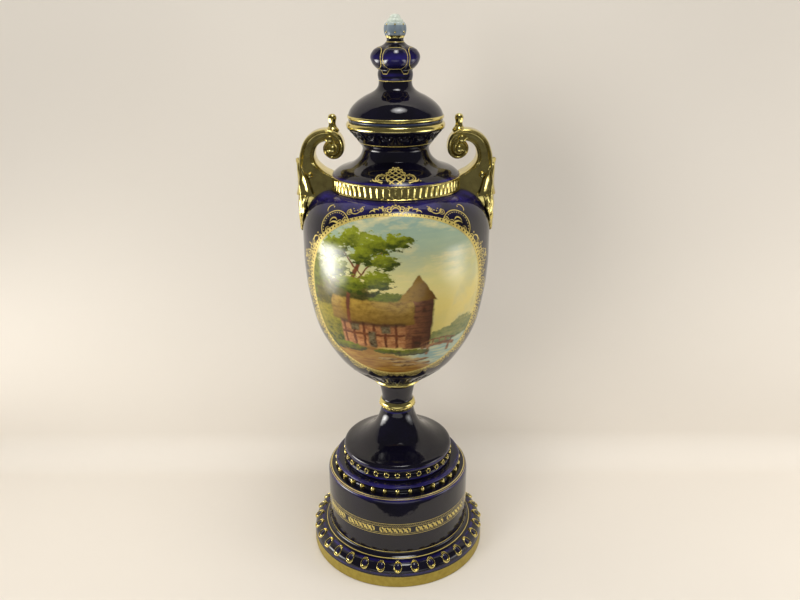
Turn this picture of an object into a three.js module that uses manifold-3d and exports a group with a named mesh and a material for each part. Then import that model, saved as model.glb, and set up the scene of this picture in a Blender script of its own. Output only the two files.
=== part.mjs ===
// A covered mantel urn of cobalt-glazed porcelain with gilt relief, on a round plinth.
// Millimetres, +Z up. The origin is the centre of the plinth's underside, and the painted
// face of the urn looks along -Y, between two scrolled handles on the X axis.
//
// Three pieces stand on each other and lift apart: the plinth, open underneath; the urn,
// hollow in body and foot; and the lid, hollow under its dome, with a locating ring.

import * as THREE from 'three';
import { mergeVertices } from 'three/addons/utils/BufferGeometryUtils.js';
import Module from 'manifold-3d';

const wasm = await Module();
wasm.setup();

// ---------------------------------------------------------------- driving dimensions

const TOTAL_HEIGHT = 460;
const REST_GAP = 0.3; // unglazed rings stand this far apart
const WALL = 4.5; // fired wall of the urn and its plinth
const LID_WALL = 3.6;

const PLINTH_TOP = 86.5;
const FOOT_BAND_RADIUS = 77.7;
const FOOT_BAND_TOP = 11.1;
const DRUM_RADIUS = 63;

const URN_BASE = PLINTH_TOP + REST_GAP;
const URN_FOOT_RADIUS = 48;
const STEM_RADIUS = 14.2;
const BODY_RADIUS = 75.3;
const SHOULDER_START = 297; // the shoulder is a quarter ellipse from here to the collar
const COLLAR_BOTTOM = 331;
const COLLAR_TOP = 342;
const COLLAR_RADIUS = 51;
const MOUTH_TOP = 382.6;

const LID_BASE = MOUTH_TOP + REST_GAP;
const LID_RADIUS = 37.2;
const LID_RING_RADIUS = 26;
const LID_RING_DROP = 11;

const LATHE_STEPS = 32; // a ring of 32 has one bead to a facet
const HALF_FACET = Math.PI / LATHE_STEPS; // puts the middle of a facet at the front
const HOLLOW_STEPS = 20;
const SMALL_HOLLOW_STEPS = 16;
const LID_STEPS = 30;
const RING_BEADS = 32;

// ---------------------------------------------------------------- solids from three.js shapes

/** A manifold solid from a closed three.js geometry, with its seams merged. */
function solidOf(geometry) {
  const bare = geometry.clone();
  bare.deleteAttribute('normal');
  bare.deleteAttribute('uv');
  const merged = mergeVertices(bare, 1e-3);
  const corners = merged.index.array;
  const kept = [];
  for (let i = 0; i < corners.length; i += 3) {
    const [a, b, c] = [corners[i], corners[i + 1], corners[i + 2]];
    if (a !== b && b !== c && c !== a) kept.push(a, b, c);
  }
  return new wasm.Manifold(new wasm.Mesh({
    numProp: 3,
    vertProperties: Float32Array.from(merged.attributes.position.array),
    triVerts: Uint32Array.from(kept),
  }));
}

/** A named mesh from a manifold solid. */
function meshOf(name, solid, material) {
  const data = solid.getMesh();
  const geometry = new THREE.BufferGeometry();
  geometry.setAttribute('position', new THREE.BufferAttribute(data.vertProperties, 3));
  geometry.setIndex(new THREE.BufferAttribute(data.triVerts, 1));
  geometry.computeVertexNormals();
  const mesh = new THREE.Mesh(geometry, material);
  mesh.name = name;
  return mesh;
}

/** Points [radius, height] of a round stretch: a smooth curve through a few of them. */
function smooth(points, steps) {
  const curve = new THREE.SplineCurve(points.map(([r, z]) => new THREE.Vector2(r, z)));
  return curve.getPoints(steps).map((p) => [p.x, p.y]);
}

/** Points of a quarter-ellipse shoulder, from upright at its foot to level at its top. */
function shoulder(steps) {
  const points = [];
  for (let i = 1; i <= steps; i++) {
    const turn = (i / steps) * (Math.PI / 2);
    points.push([
      COLLAR_RADIUS + (BODY_RADIUS - COLLAR_RADIUS) * Math.cos(turn),
      SHOULDER_START + (COLLAR_BOTTOM - SHOULDER_START) * Math.sin(turn),
    ]);
  }
  return points;
}

/**
 * A turned solid about Z, its first corner at an angle of start from the front, where
 * relief(turn, height) adds to the radius.
 */
function turned(profile, steps, { start = 0, relief = () => 0 } = {}) {
  const geometry = new THREE.LatheGeometry(
    profile.map(([r, z]) => new THREE.Vector2(r, z)), steps, start);
  const place = geometry.attributes.position;
  for (let i = 0; i < place.count; i++) {
    const [x, height, z] = [place.getX(i), place.getY(i), place.getZ(i)];
    const radius = Math.hypot(x, z);
    if (radius < 1e-6) continue;
    const scale = 1 + relief(Math.atan2(x, z), height) / radius;
    place.setX(i, x * scale);
    place.setZ(i, z * scale);
  }
  return solidOf(geometry.rotateX(Math.PI / 2));
}

/** A ring of equal beads about Z, half of each sunk in its wall; lean tips their faces up. */
function beadRing(bead, { radius, height, lean = 0 }) {
  const beads = [];
  for (let i = 0; i < RING_BEADS; i++) {
    const placed = bead.clone()
      .rotateX(-lean)
      .translate(0, -radius, height)
      .rotateZ((i / RING_BEADS) * Math.PI * 2);
    beads.push(solidOf(placed));
  }
  return wasm.Manifold.union(beads);
}

/** A pointed bead: its width, how far it stands out of the wall, and its height. */
function pointedBead(width, proud, height) {
  return new THREE.OctahedronGeometry(0.5).scale(width, 2 * proud, height);
}

/**
 * A closed bar along a course in the XZ plane. Each station has its place, the lean of its way
 * outwards from level in degrees, and ring(sine, cosine), which gives a corner's offset
 * outwards and across.
 */
function swept(stations, sides) {
  const last = stations.length - 1;
  const bar = new THREE.CylinderGeometry(1, 1, 1, sides, last);
  const place = bar.attributes.position;
  for (let i = 0; i < place.count; i++) {
    const [x, y, z] = [place.getX(i), place.getY(i), place.getZ(i)];
    const row = Math.round((0.5 - y) * last);
    const lean = THREE.MathUtils.degToRad(stations[row].lean);
    const reach = Math.hypot(x, z);
    const [out, across] = stations[row].ring(x, z);
    place.setXYZ(
      i,
      stations[row].x + reach * out * Math.cos(lean),
      reach * across,
      stations[row].z + reach * out * Math.sin(lean),
    );
  }
  return solidOf(bar);
}

// ---------------------------------------------------------------- plinth

const PLINTH_PROFILE = [
  [0, 0],
  [FOOT_BAND_RADIUS, 0],
  [FOOT_BAND_RADIUS, FOOT_BAND_TOP],
  [76.8, 15.2],
  [70.2, 20.8],
  [66.7, 21.3],
  [DRUM_RADIUS, 25],
  [DRUM_RADIUS, 74],
  [61.6, 78.4],
  [54.2, 79.2],
  [54.2, 83.4],
  [55.8, 84.6],
  [55.2, PLINTH_TOP],
  [0, PLINTH_TOP],
];

const PLINTH_HOLLOW = [
  [0, -5],
  [FOOT_BAND_RADIUS - 6, -5],
  [FOOT_BAND_RADIUS - 6, 10],
  [DRUM_RADIUS - WALL, 19],
  [DRUM_RADIUS - WALL, 72],
  [49, 76],
  [49, PLINTH_TOP - 5],
  [0, PLINTH_TOP - 5],
];

function plinthSolid() {
  const ovals = beadRing(pointedBead(8.6, 2.8, 10.2), { radius: 72.9, height: 17.3, lean: 0.87 });
  const drops = beadRing(pointedBead(4.2, 1.9, 4), { radius: 53.4, height: 81.3 });
  return turned(PLINTH_PROFILE, LATHE_STEPS, { start: HALF_FACET })
    .add(ovals)
    .add(drops)
    .subtract(turned(PLINTH_HOLLOW, HOLLOW_STEPS));
}

// ---------------------------------------------------------------- urn: the turned body

const URN_PROFILE = [
  [0, URN_BASE],
  [URN_FOOT_RADIUS, URN_BASE],
  [URN_FOOT_RADIUS, 97],
  ...smooth([[47.4, 100], [40, 102.6], [28, 109.4], [19, 119], [15, 128]], 5),
  [STEM_RADIUS, 135.6],
  [15.1, 137],
  [15.1, 141],
  [13.4, 142.8],
  [15.6, 157.6],
  [20, 160],
  [20, 163],
  ...smooth([[22.2, 165], [37, 177], [50, 189], [65.4, 216], [72.5, 246], [75, 270],
    [BODY_RADIUS, 285]], 7),
  [BODY_RADIUS, SHOULDER_START],
  ...shoulder(5),
  [49.2, 332.6],
  [49.2, 340.4],
  [COLLAR_RADIUS, 340.6],
  [49.8, 343],
  ...smooth([[45, 346.6], [35, 350.4], [28.6, 355.6], [26.1, 361.6]], 4),
  [29.4, 368],
  [32.2, 372.8],
  [35.4, 376.2],
  [38.3, 379.4],
  [37.8, MOUTH_TOP],
  [0, MOUTH_TOP],
];

const URN_HOLLOW = [
  [0, 174],
  [24, 174],
  [44.5, 191],
  [60.6, 217],
  [68, 247],
  [BODY_RADIUS - WALL, 280],
  [BODY_RADIUS - WALL, 299],
  [64, 318],
  [46, 327],
  [44.5, 339],
  [29, 347.6],
  [21.8, 360],
  [28, 372.6],
  [32.6, 379],
  [32.6, MOUTH_TOP + 5],
  [0, MOUTH_TOP + 5],
];

const FOOT_HOLLOW = [
  [0, URN_BASE - 5],
  [42.5, URN_BASE - 5],
  [42.5, 94.6],
  [32, 97.4],
  [19, 106],
  [0, 114],
];

const COLLAR_REEDS = 64;
const REED_VALLEY = 49.4;

/** The ring of upright reeds round the collar. */
function collarSolid() {
  const outline = new THREE.Shape();
  for (let i = 0; i < COLLAR_REEDS * 2; i++) {
    const turn = ((i + 0.5) / (COLLAR_REEDS * 2)) * Math.PI * 2;
    const radius = i % 2 === 0 ? REED_VALLEY : COLLAR_RADIUS;
    outline[i === 0 ? 'moveTo' : 'lineTo'](radius * Math.sin(turn), radius * Math.cos(turn));
  }
  outline.closePath();
  const depth = 8.2;
  const ring = new THREE.ExtrudeGeometry(outline, { depth, bevelEnabled: false });
  return solidOf(ring.translate(0, 0, 332.4));
}

// ---------------------------------------------------------------- urn: handles

// The course of a handle's bar, on the +X side: x, z, half its thickness in the plane of the
// scroll, half its depth across, and how far the way out through its thickness turns up from
// level, in degrees. It climbs from the leaf's point on the body, over the shoulder, round the
// top and into the volute.
const HANDLE_COURSE = [
  [75.6, 297, 0.8, 2, 8],
  [73.9, 307, 2.6, 8, 10],
  [70.6, 317, 5.4, 11.6, 14],
  [66.3, 325.2, 10, 12.6, 18],
  [61.6, 332, 14.9, 12.6, 10],
  [61.6, 339, 14.6, 12.2, -4],
  [65.2, 343.8, 10.6, 11.7, -6],
  [68.4, 349.8, 7.3, 10.7, -7],
  [68.8, 359, 5.6, 8.8, 11],
  [66.2, 366.4, 5.3, 8, 34],
  [60.6, 371.2, 4.9, 7.6, 62],
  [54, 372.8, 4.6, 7.4, 89],
  [47.8, 371.4, 4.3, 7.4, 120],
  [44, 367, 3.8, 7.4, 154],
  [43.2, 362, 3.5, 7.4, 187],
  [45, 358.4, 3.2, 7.4, 229],
  [48.8, 357.2, 2.9, 7.4, 278],
  [52.4, 359.4, 2.6, 7.4, 322],
  [53.4, 363, 2.3, 7.2, 344],
];
const HANDLE_SIDES = 10;
const CHANNEL = 0.22; // the channel's depth in the front and back faces, of half the bar's
const LEAF_TOP = 352;
const LEAF_STATIONS = 8; // of the course, from its foot
const LEAF_LOBES = 3;
const LEAF_THICKNESS = 1.6;
const VOLUTE = { x: 49, z: 362.6, radius: 6, halfDepth: 6.4, eye: 2.7, eyeProud: 1.6 };

/** How far round the bar the leaf reaches at a height, as a fraction of a half turn. */
function leafReach(z) {
  const along = THREE.MathUtils.clamp((LEAF_TOP - z) / (LEAF_TOP - 297), 0, 1);
  const lobe = Math.abs(Math.sin(along * LEAF_LOBES * Math.PI));
  return 0.2 + 0.34 * lobe * Math.sin(Math.PI * Math.min(along + 0.25, 1));
}

/** One station of a handle's bar: a rounded rectangle, channelled, with the leaf over it. */
function handleStation([x, z, thickness, depth, lean], index) {
  const onLeaf = index < LEAF_STATIONS;
  const ring = (sine, cosine) => {
    const rounded = (v) => Math.sign(v) * Math.abs(v) ** 0.6;
    const inChannel = Math.abs(sine) < 0.1 && !onLeaf;
    const across = rounded(cosine) * (inChannel ? 1 - CHANNEL : 1);
    const round = Math.abs(Math.atan2(cosine, sine)) / Math.PI;
    const leaf = onLeaf && round < leafReach(z) ? LEAF_THICKNESS : 0;
    return [rounded(sine) * thickness + sine * leaf, across * depth + cosine * leaf];
  };
  return { x, z, lean, ring };
}

function handleSolid() {
  const core = new THREE.CylinderGeometry(
    VOLUTE.radius, VOLUTE.radius, 2 * VOLUTE.halfDepth, 12);
  const eye = new THREE.CylinderGeometry(
    VOLUTE.eye, VOLUTE.eye, 2 * (VOLUTE.halfDepth + VOLUTE.eyeProud), 6);
  const bud = new THREE.LatheGeometry([
    [0, 374], [4.6, 374], [2.8, 380], [3.6, 384.4], [0, 388.2],
  ].map(([r, z]) => new THREE.Vector2(r, z)), 8).rotateX(Math.PI / 2);
  return swept(HANDLE_COURSE.map(handleStation), HANDLE_SIDES)
    .add(solidOf(core.translate(VOLUTE.x, 0, VOLUTE.z)))
    .add(solidOf(eye.translate(VOLUTE.x, 0, VOLUTE.z)))
    .add(solidOf(bud.translate(VOLUTE.x, 0, 0)));
}

/** The same solid turned half round Z. */
function turnedRound(solid) {
  const mesh = meshOf('turned', solid, null);
  return solidOf(mesh.geometry.rotateZ(Math.PI));
}

function urnSolid() {
  const handle = handleSolid();
  const beads = beadRing(
    pointedBead(5.2, 1.8, 5.2), { radius: URN_FOOT_RADIUS - 0.8, height: 92 });
  return turned(URN_PROFILE, LATHE_STEPS, { start: HALF_FACET })
    .add(collarSolid())
    .add(beads)
    .add(handle)
    .add(turnedRound(handle))
    .subtract(turned(URN_HOLLOW, HOLLOW_STEPS))
    .subtract(turned(FOOT_HOLLOW, SMALL_HOLLOW_STEPS));
}

// ---------------------------------------------------------------- lid

const MELON = { bottom: 420.5, top: 439.4, lobes: 5, valley: 2.2 };
const BUD = { bottom: 443, top: 454.8, lobes: 5, valley: 1 };

const LID_PROFILE = [
  [0, LID_BASE - LID_RING_DROP],
  [LID_RING_RADIUS - 0.6, LID_BASE - LID_RING_DROP],
  [LID_RING_RADIUS, LID_BASE],
  [36.4, LID_BASE],
  [LID_RADIUS, 384.4],
  [36.6, 388.5],
  ...smooth([[35.2, 391.4], [29.7, 397.4], [22.6, 401.8], [15.2, 405.8], [12.6, 410.6]], 4),
  [13.7, 417],
  [12.8, MELON.bottom],
  ...smooth([[16.6, 424], [19.7, 429.6], [17, 435.2], [9.8, 438.2]], 5),
  [8, MELON.top],
  [6.4, 442.4],
  [8.4, 448.4],
  [7.6, 454.6],
  [4.8, 455],
  [3.8, 458.4],
  [0, TOTAL_HEIGHT],
];

const LID_HOLLOW = [
  [0, LID_BASE - LID_RING_DROP - 5],
  [LID_RING_RADIUS - LID_WALL, LID_BASE - LID_RING_DROP - 5],
  [LID_RING_RADIUS - LID_WALL, LID_BASE + 2],
  [31.6, 388.6],
  [26.4, 394.4],
  [12, 403],
  [0, 404],
];

/** The sunk valleys between the melon's lobes and between the bud's petals. */
function finialRelief(turn, height) {
  for (const { bottom, top, lobes, valley } of [MELON, BUD]) {
    if (height > bottom && height < top) {
      const swell = Math.sin(Math.PI * (height - bottom) / (top - bottom));
      return -valley * swell * (1 - Math.abs(Math.cos(lobes * turn / 2)));
    }
  }
  return 0;
}

function lidSolid() {
  return turned(LID_PROFILE, LID_STEPS, { relief: finialRelief })
    .subtract(turned(LID_HOLLOW, SMALL_HOLLOW_STEPS));
}

// ---------------------------------------------------------------- the urn in three pieces

const cobalt = new THREE.MeshStandardMaterial({ color: 0x14103c, roughness: 0.12 });
const group = new THREE.Group();
group.add(meshOf('plinth', plinthSolid(), cobalt.clone()));
group.add(meshOf('urn', urnSolid(), cobalt.clone()));
group.add(meshOf('lid', lidSolid(), cobalt.clone()));

export default group;
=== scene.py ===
"""The looks of a covered mantel urn: cobalt glaze, gilt relief and a painted reserve.

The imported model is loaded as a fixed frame, and each piece made here stands where its solid
stands. Lengths are written in millimetres, as radius and height about the urn's axis, and
become metres when a mesh is made. Turn 0 is the front of the urn, at -Y.
"""

from __future__ import annotations

import logging
import math
from dataclasses import dataclass, replace
from enum import Enum
from functools import reduce
from typing import Callable, NamedTuple, Sequence, Union

import bpy
import numpy as np
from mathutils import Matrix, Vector

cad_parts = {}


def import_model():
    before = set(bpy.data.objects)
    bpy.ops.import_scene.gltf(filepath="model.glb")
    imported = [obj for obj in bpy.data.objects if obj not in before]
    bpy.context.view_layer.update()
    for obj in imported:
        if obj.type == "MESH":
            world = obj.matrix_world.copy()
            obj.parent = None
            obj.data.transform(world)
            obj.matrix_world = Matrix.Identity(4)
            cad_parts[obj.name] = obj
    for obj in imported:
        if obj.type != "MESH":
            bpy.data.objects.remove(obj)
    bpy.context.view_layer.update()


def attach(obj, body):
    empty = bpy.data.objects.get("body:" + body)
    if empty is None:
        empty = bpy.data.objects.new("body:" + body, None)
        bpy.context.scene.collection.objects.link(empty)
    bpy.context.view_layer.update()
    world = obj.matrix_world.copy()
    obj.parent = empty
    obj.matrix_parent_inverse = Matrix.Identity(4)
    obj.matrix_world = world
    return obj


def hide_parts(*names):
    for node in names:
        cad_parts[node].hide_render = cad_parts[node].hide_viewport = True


LOG = logging.getLogger("mantel_urn")

Piece = bpy.types.Object
Finish = bpy.types.Material

MM = 0.001
FULL_TURN = 2 * math.pi
RUN = "run"  # a turned piece's length along its outline, in mm, kept on its vertices

PLINTH_TOP = 86.5
DRUM_RADIUS = 63.0
FOOT_BAND_RADIUS = 77.7
URN_BASE = 86.8
BODY_RADIUS = 75.3
SHOULDER_START = 297.0
COLLAR_BOTTOM = 331.0
COLLAR_RADIUS = 51.0
MOUTH_TOP = 382.6
LID_BASE = 382.9
RING_BEADS = 32


class Slot(Enum):
    """The record's material slots."""

    PLINTH = "plinth_glaze"
    URN = "urn_glaze"
    LID = "lid_glaze"


# ---------------- outlines


class Knot(NamedTuple):
    """A corner of an outline, and how far along its two sides it is rounded off."""

    r: float
    z: float
    ease: float = 0.0


def spline(points: Sequence[Sequence[float]], steps: int) -> np.ndarray:
    """A smooth course through a few rows of numbers.

    Args:
        points: The rows that it goes through.
        steps: How many straight pieces stand for it.

    Returns:
        Its rows, both ends among them.
    """
    places = np.array(points, dtype=float)
    spans = len(places) - 1
    at = np.linspace(0, spans, steps + 1)
    span = np.minimum(at.astype(int), spans - 1)
    w = (at - span)[:, None]
    start, end = places[span], places[span + 1]
    slope_in = (end - places[np.maximum(span - 1, 0)]) / 2
    slope_out = (places[np.minimum(span + 2, spans)] - start) / 2
    cubic = 2 * start - 2 * end + slope_in + slope_out
    square = 3 * end - 3 * start - 2 * slope_in - slope_out
    return cubic * w**3 + square * w**2 + slope_in * w + start


def curve(points: Sequence[tuple[float, float]], steps: int) -> list[Knot]:
    """A smooth stretch of outline through a few radii and heights."""
    return [Knot(float(r), float(z)) for r, z in spline(points, steps)]


def shoulder(steps: int) -> list[Knot]:
    """The quarter ellipse from the body's upright side to the collar.

    Args:
        steps: How many straight pieces stand for it.

    Returns:
        Its knots, without the one on the body's side.
    """
    reach = BODY_RADIUS - COLLAR_RADIUS
    rise = COLLAR_BOTTOM - SHOULDER_START
    turns = [step / steps * math.pi / 2 for step in range(1, steps + 1)]
    return [
        Knot(COLLAR_RADIUS + reach * math.cos(turn), SHOULDER_START + rise * math.sin(turn))
        for turn in turns
    ]


class Outline:
    """The outline that a turned piece is spun from, with its corners rounded off."""

    ROUNDING_STEPS = 5

    def __init__(self, knots: Sequence[Knot]) -> None:
        """Rounds the corners and measures the length along the outline.

        Args:
            knots: The corners, from the axis round to the axis.
        """
        self.points = np.array(self._rounded(knots))
        spans = np.hypot(*np.diff(self.points, axis=0).T)
        self.runs = np.concatenate([[0.0], np.cumsum(spans)])

    def _rounded(self, knots: Sequence[Knot]) -> list[tuple[float, float]]:
        """The outline's points, with a small arc at each eased corner.

        Args:
            knots: The corners.

        Returns:
            Their radii and heights.
        """
        points = [(knots[0].r, knots[0].z)]
        for before, knot, after in zip(knots, knots[1:], knots[2:]):
            corner = Vector((knot.r, knot.z))
            back = Vector((before.r, before.z)) - corner
            on = Vector((after.r, after.z)) - corner
            if not knot.ease:
                points.append(tuple(corner))
                continue
            start = corner + back * min(knot.ease / back.length, 0.48)
            end = corner + on * min(knot.ease / on.length, 0.48)
            for step in range(self.ROUNDING_STEPS + 1):
                w = step / self.ROUNDING_STEPS
                place = (1 - w) ** 2 * start + 2 * w * (1 - w) * corner + w * w * end
                points.append(tuple(place))
        points.append((knots[-1].r, knots[-1].z))
        return points

    def run_at(self, r: float, z: float) -> float:
        """The length along the outline to the place nearest a radius and height.

        Args:
            r: The radius.
            z: The height.

        Returns:
            The length.
        """
        starts, ends = self.points[:-1], self.points[1:]
        along = ends - starts
        share = ((np.array([r, z]) - starts) * along).sum(axis=1)
        share = np.clip(share / np.maximum((along**2).sum(axis=1), 1e-12), 0, 1)
        gaps = np.hypot(*(starts + along * share[:, None] - [r, z]).T)
        best = int(np.argmin(gaps))
        return float(self.runs[best] + share[best] * (self.runs[best + 1] - self.runs[best]))

    def runs_of(self, places: np.ndarray) -> np.ndarray:
        """The length along the outline to each of many radii and heights on it."""
        keys, back = np.unique(np.round(places, 3), axis=0, return_inverse=True)
        return np.array([self.run_at(r, z) for r, z in keys])[back.reshape(-1)]


# ---------------- modelling


def put_down() -> None:
    """Leaves edit mode and deselects everything."""
    if bpy.context.object and bpy.context.object.mode != "OBJECT":
        bpy.ops.object.mode_set(mode="OBJECT")
    bpy.ops.object.select_all(action="DESELECT")


def take_up(piece: Piece, edit: bool = False) -> None:
    """Selects one piece alone and makes it active.

    Args:
        piece: The piece.
        edit: Whether to go into edit mode with all of it selected.
    """
    put_down()
    piece.select_set(True)
    bpy.context.view_layer.objects.active = piece
    if edit:
        bpy.ops.object.mode_set(mode="EDIT")
        bpy.ops.mesh.select_all(action="SELECT")


def named(name: str) -> Piece:
    """Names the object that an operator has just added, and its mesh, and returns it.

    Args:
        name: The name.

    Returns:
        The object.
    """
    piece = bpy.context.object
    piece.name = name
    piece.data.name = name
    return piece


def close_up(piece: Piece, gap: float = 0.002) -> None:
    """Merges doubled vertices and turns every face outwards.

    Args:
        piece: The piece.
        gap: How close two vertices are, in mm, to be one.
    """
    take_up(piece, edit=True)
    bpy.ops.mesh.remove_doubles(threshold=gap * MM)
    bpy.ops.mesh.select_all(action="SELECT")
    bpy.ops.mesh.normals_make_consistent(inside=False)
    put_down()


def wired(name: str, places: np.ndarray) -> Piece:
    """Draws a wire through a few places and leaves it selected in edit mode.

    Args:
        name: The piece's name.
        places: The places in mm, one row each.

    Returns:
        The piece.
    """
    put_down()
    bpy.ops.mesh.primitive_plane_add(size=MM)
    piece = named(name)
    bpy.ops.object.mode_set(mode="EDIT")
    bpy.ops.mesh.select_all(action="SELECT")
    bpy.ops.mesh.merge(type="CENTER")
    bpy.ops.transform.translate(value=tuple(places[0] * MM))
    for step in np.diff(places, axis=0) * MM:
        bpy.ops.mesh.extrude_vertices_move(TRANSFORM_OT_translate={"value": tuple(step)})
    bpy.ops.mesh.select_all(action="SELECT")
    return piece


def spun(name: str, outline: Outline, steps: int) -> Piece:
    """Spins an outline about the axis into a closed piece.

    Args:
        name: The piece's name.
        outline: The outline, from the axis to the axis.
        steps: How many faces go round.

    Returns:
        The piece, with the length along its outline kept on its vertices.
    """
    piece = wired(name, np.insert(outline.points, 1, 0.0, axis=1))
    bpy.ops.mesh.spin(steps=steps, angle=FULL_TURN, center=(0, 0, 0), axis=(0, 0, 1))
    close_up(piece)
    places = places_of(piece)
    runs = outline.runs_of(np.column_stack([np.hypot(places[:, 0], places[:, 1]), places[:, 2]]))
    mark = piece.data.attributes.new(RUN, "FLOAT", "POINT")
    mark.data.foreach_set("value", runs.astype(np.float32))
    return piece


def places_of(piece: Piece) -> np.ndarray:
    """The places of a piece's vertices, in mm.

    Args:
        piece: The piece.

    Returns:
        One row each.
    """
    flat = np.empty(len(piece.data.vertices) * 3)
    piece.data.vertices.foreach_get("co", flat)
    return flat.reshape(-1, 3) / MM


def move_to(piece: Piece, places: np.ndarray) -> None:
    """Moves a piece's vertices to places given in mm."""
    piece.data.vertices.foreach_set("co", (places * MM).reshape(-1))
    piece.data.update()


def turns_of(places: np.ndarray) -> np.ndarray:
    """The angle of each place from the front, seen from above, positive towards +X."""
    return np.arctan2(places[:, 0], -places[:, 1])


def swell(piece: Piece, relief: Callable[[np.ndarray, np.ndarray], np.ndarray]) -> None:
    """Moves a turned piece's surface in or out from the axis.

    Args:
        piece: The turned piece.
        relief: Gives the move in mm from each vertex's turn and its run.
    """
    places = places_of(piece)
    runs = np.empty(len(places), dtype=np.float32)
    piece.data.attributes[RUN].data.foreach_get("value", runs)
    radii = np.hypot(places[:, 0], places[:, 1])
    moved = radii + relief(turns_of(places), runs.astype(float))
    scale = np.where(radii > 0.01, moved / np.maximum(radii, 0.01), 1.0)
    places[:, 0] *= scale
    places[:, 1] *= scale
    move_to(piece, places)


def smooth_off(piece: Piece, sharp_angle: float = 40.0) -> Piece:
    """Shades a piece smooth, but for edges sharper than an angle in degrees.

    Args:
        piece: The piece.
        sharp_angle: The angle.

    Returns:
        The piece.
    """
    take_up(piece)
    bpy.ops.object.shade_smooth_by_angle(angle=math.radians(sharp_angle))
    put_down()
    return piece


@dataclass(frozen=True)
class Boss:
    """A small turned boss, and how a ring of them stands round the urn.

    Attributes:
        name: The ring's name.
        outline: The outline of one, from its crown on the axis to its foot on the axis.
        sides: How many faces go round one.
        radius: The radius of the wall that they stand on, in mm.
        height: Their height, in mm.
        lean: How far they look up, in degrees.
        count: How many there are.
        egg: How much broader the upper end of one is.
        stretch: Its height over its width.
        eye: The radius and height of the middle of its eye, and the eye's own radius.
        sharp_angle: The angle past which an edge stays sharp.
    """

    name: str
    outline: Outline
    sides: int
    radius: float
    height: float
    lean: float = 0.0
    count: int = RING_BEADS
    egg: float = 0.0
    stretch: float = 1.0
    eye: tuple[float, float, float] | None = None
    sharp_angle: float = 60.0

    def ring(self) -> Piece:
        """Turns one, stands it on the wall at the front and copies it round the axis.

        Returns:
            The ring, all in one mesh.
        """
        piece = spun(self.name, self.outline, self.sides)
        places = places_of(piece)
        places[:, 0] *= 1 + self.egg * places[:, 1] / self.outline.points[:, 0].max()
        places[:, 1] *= self.stretch
        move_to(piece, places)
        take_up(piece, edit=True)
        pivot = {"center_override": (0, 0, 0), "orient_axis": "X"}
        bpy.ops.transform.rotate(value=math.radians(self.lean - 90), **pivot)
        bpy.ops.transform.translate(value=(0, -self.radius * MM, self.height * MM))
        angle = FULL_TURN / self.count * (self.count - 1)
        axis = {"center": (0, 0, 0), "axis": (0, 0, 1)}
        bpy.ops.mesh.spin(steps=self.count - 1, dupli=True, angle=angle, **axis)
        bpy.ops.mesh.select_all(action="SELECT")
        bpy.ops.mesh.normals_make_consistent(inside=False)
        put_down()
        if self.eye:
            self._paint_eyes(piece, *self.eye)
        return smooth_off(piece, self.sharp_angle)

    def _paint_eyes(self, piece: Piece, radius: float, height: float, share: float) -> None:
        """Gives the faces of each eye the second material.

        Args:
            piece: The ring.
            radius: How far the eyes' middles are from the axis, in mm.
            height: Their height.
            share: How near its eye's middle a face is.
        """
        flat = np.empty(len(piece.data.polygons) * 3)
        piece.data.polygons.foreach_get("center", flat)
        turns = np.arange(self.count) * FULL_TURN / self.count
        heights = np.full(self.count, height)
        eyes = np.column_stack([radius * np.sin(turns), -radius * np.cos(turns), heights])
        middles = flat.reshape(-1, 3) / MM
        gaps = np.linalg.norm(middles[:, None, :] - eyes[None, :, :], axis=2).min(axis=1)
        piece.data.polygons.foreach_set("material_index", (gaps < share).astype(np.int32))
        piece.data.update()


def joined(name: str, pieces: Sequence[Piece]) -> Piece:
    """Joins several pieces into one mesh with a new name.

    Args:
        name: The new name.
        pieces: The pieces.

    Returns:
        The one piece.
    """
    take_up(pieces[0])
    for piece in pieces:
        piece.select_set(True)
    if len(pieces) > 1:
        bpy.ops.object.join()
    whole = named(name)
    put_down()
    return whole


def mirrored(piece: Piece, name: str) -> Piece:
    """A copy of a piece on the other side of the urn, mirrored in X.

    Args:
        piece: The piece on the +X side.
        name: The copy's name.

    Returns:
        The copy, facing outwards.
    """
    take_up(piece)
    bpy.ops.object.duplicate()
    copy = named(name)
    places = places_of(copy)
    places[:, 0] *= -1
    move_to(copy, places)
    take_up(copy, edit=True)
    bpy.ops.mesh.flip_normals()
    put_down()
    return copy


# ---------------- shading

Value = Union["Shade", float]
Colour = tuple[float, float, float, float]


def tint(red: int, green: int, blue: int) -> Colour:
    """A colour from its screen values, 0 to 255, as the shader wants it.

    Args:
        red: Its red.
        green: Its green.
        blue: Its blue.

    Returns:
        The colour.
    """

    def linear(value: float) -> float:
        """One channel's linear share."""
        share = value / 255
        return share / 12.92 if share <= 0.04045 else ((share + 0.055) / 1.055) ** 2.4

    return linear(red), linear(green), linear(blue), 1.0


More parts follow.
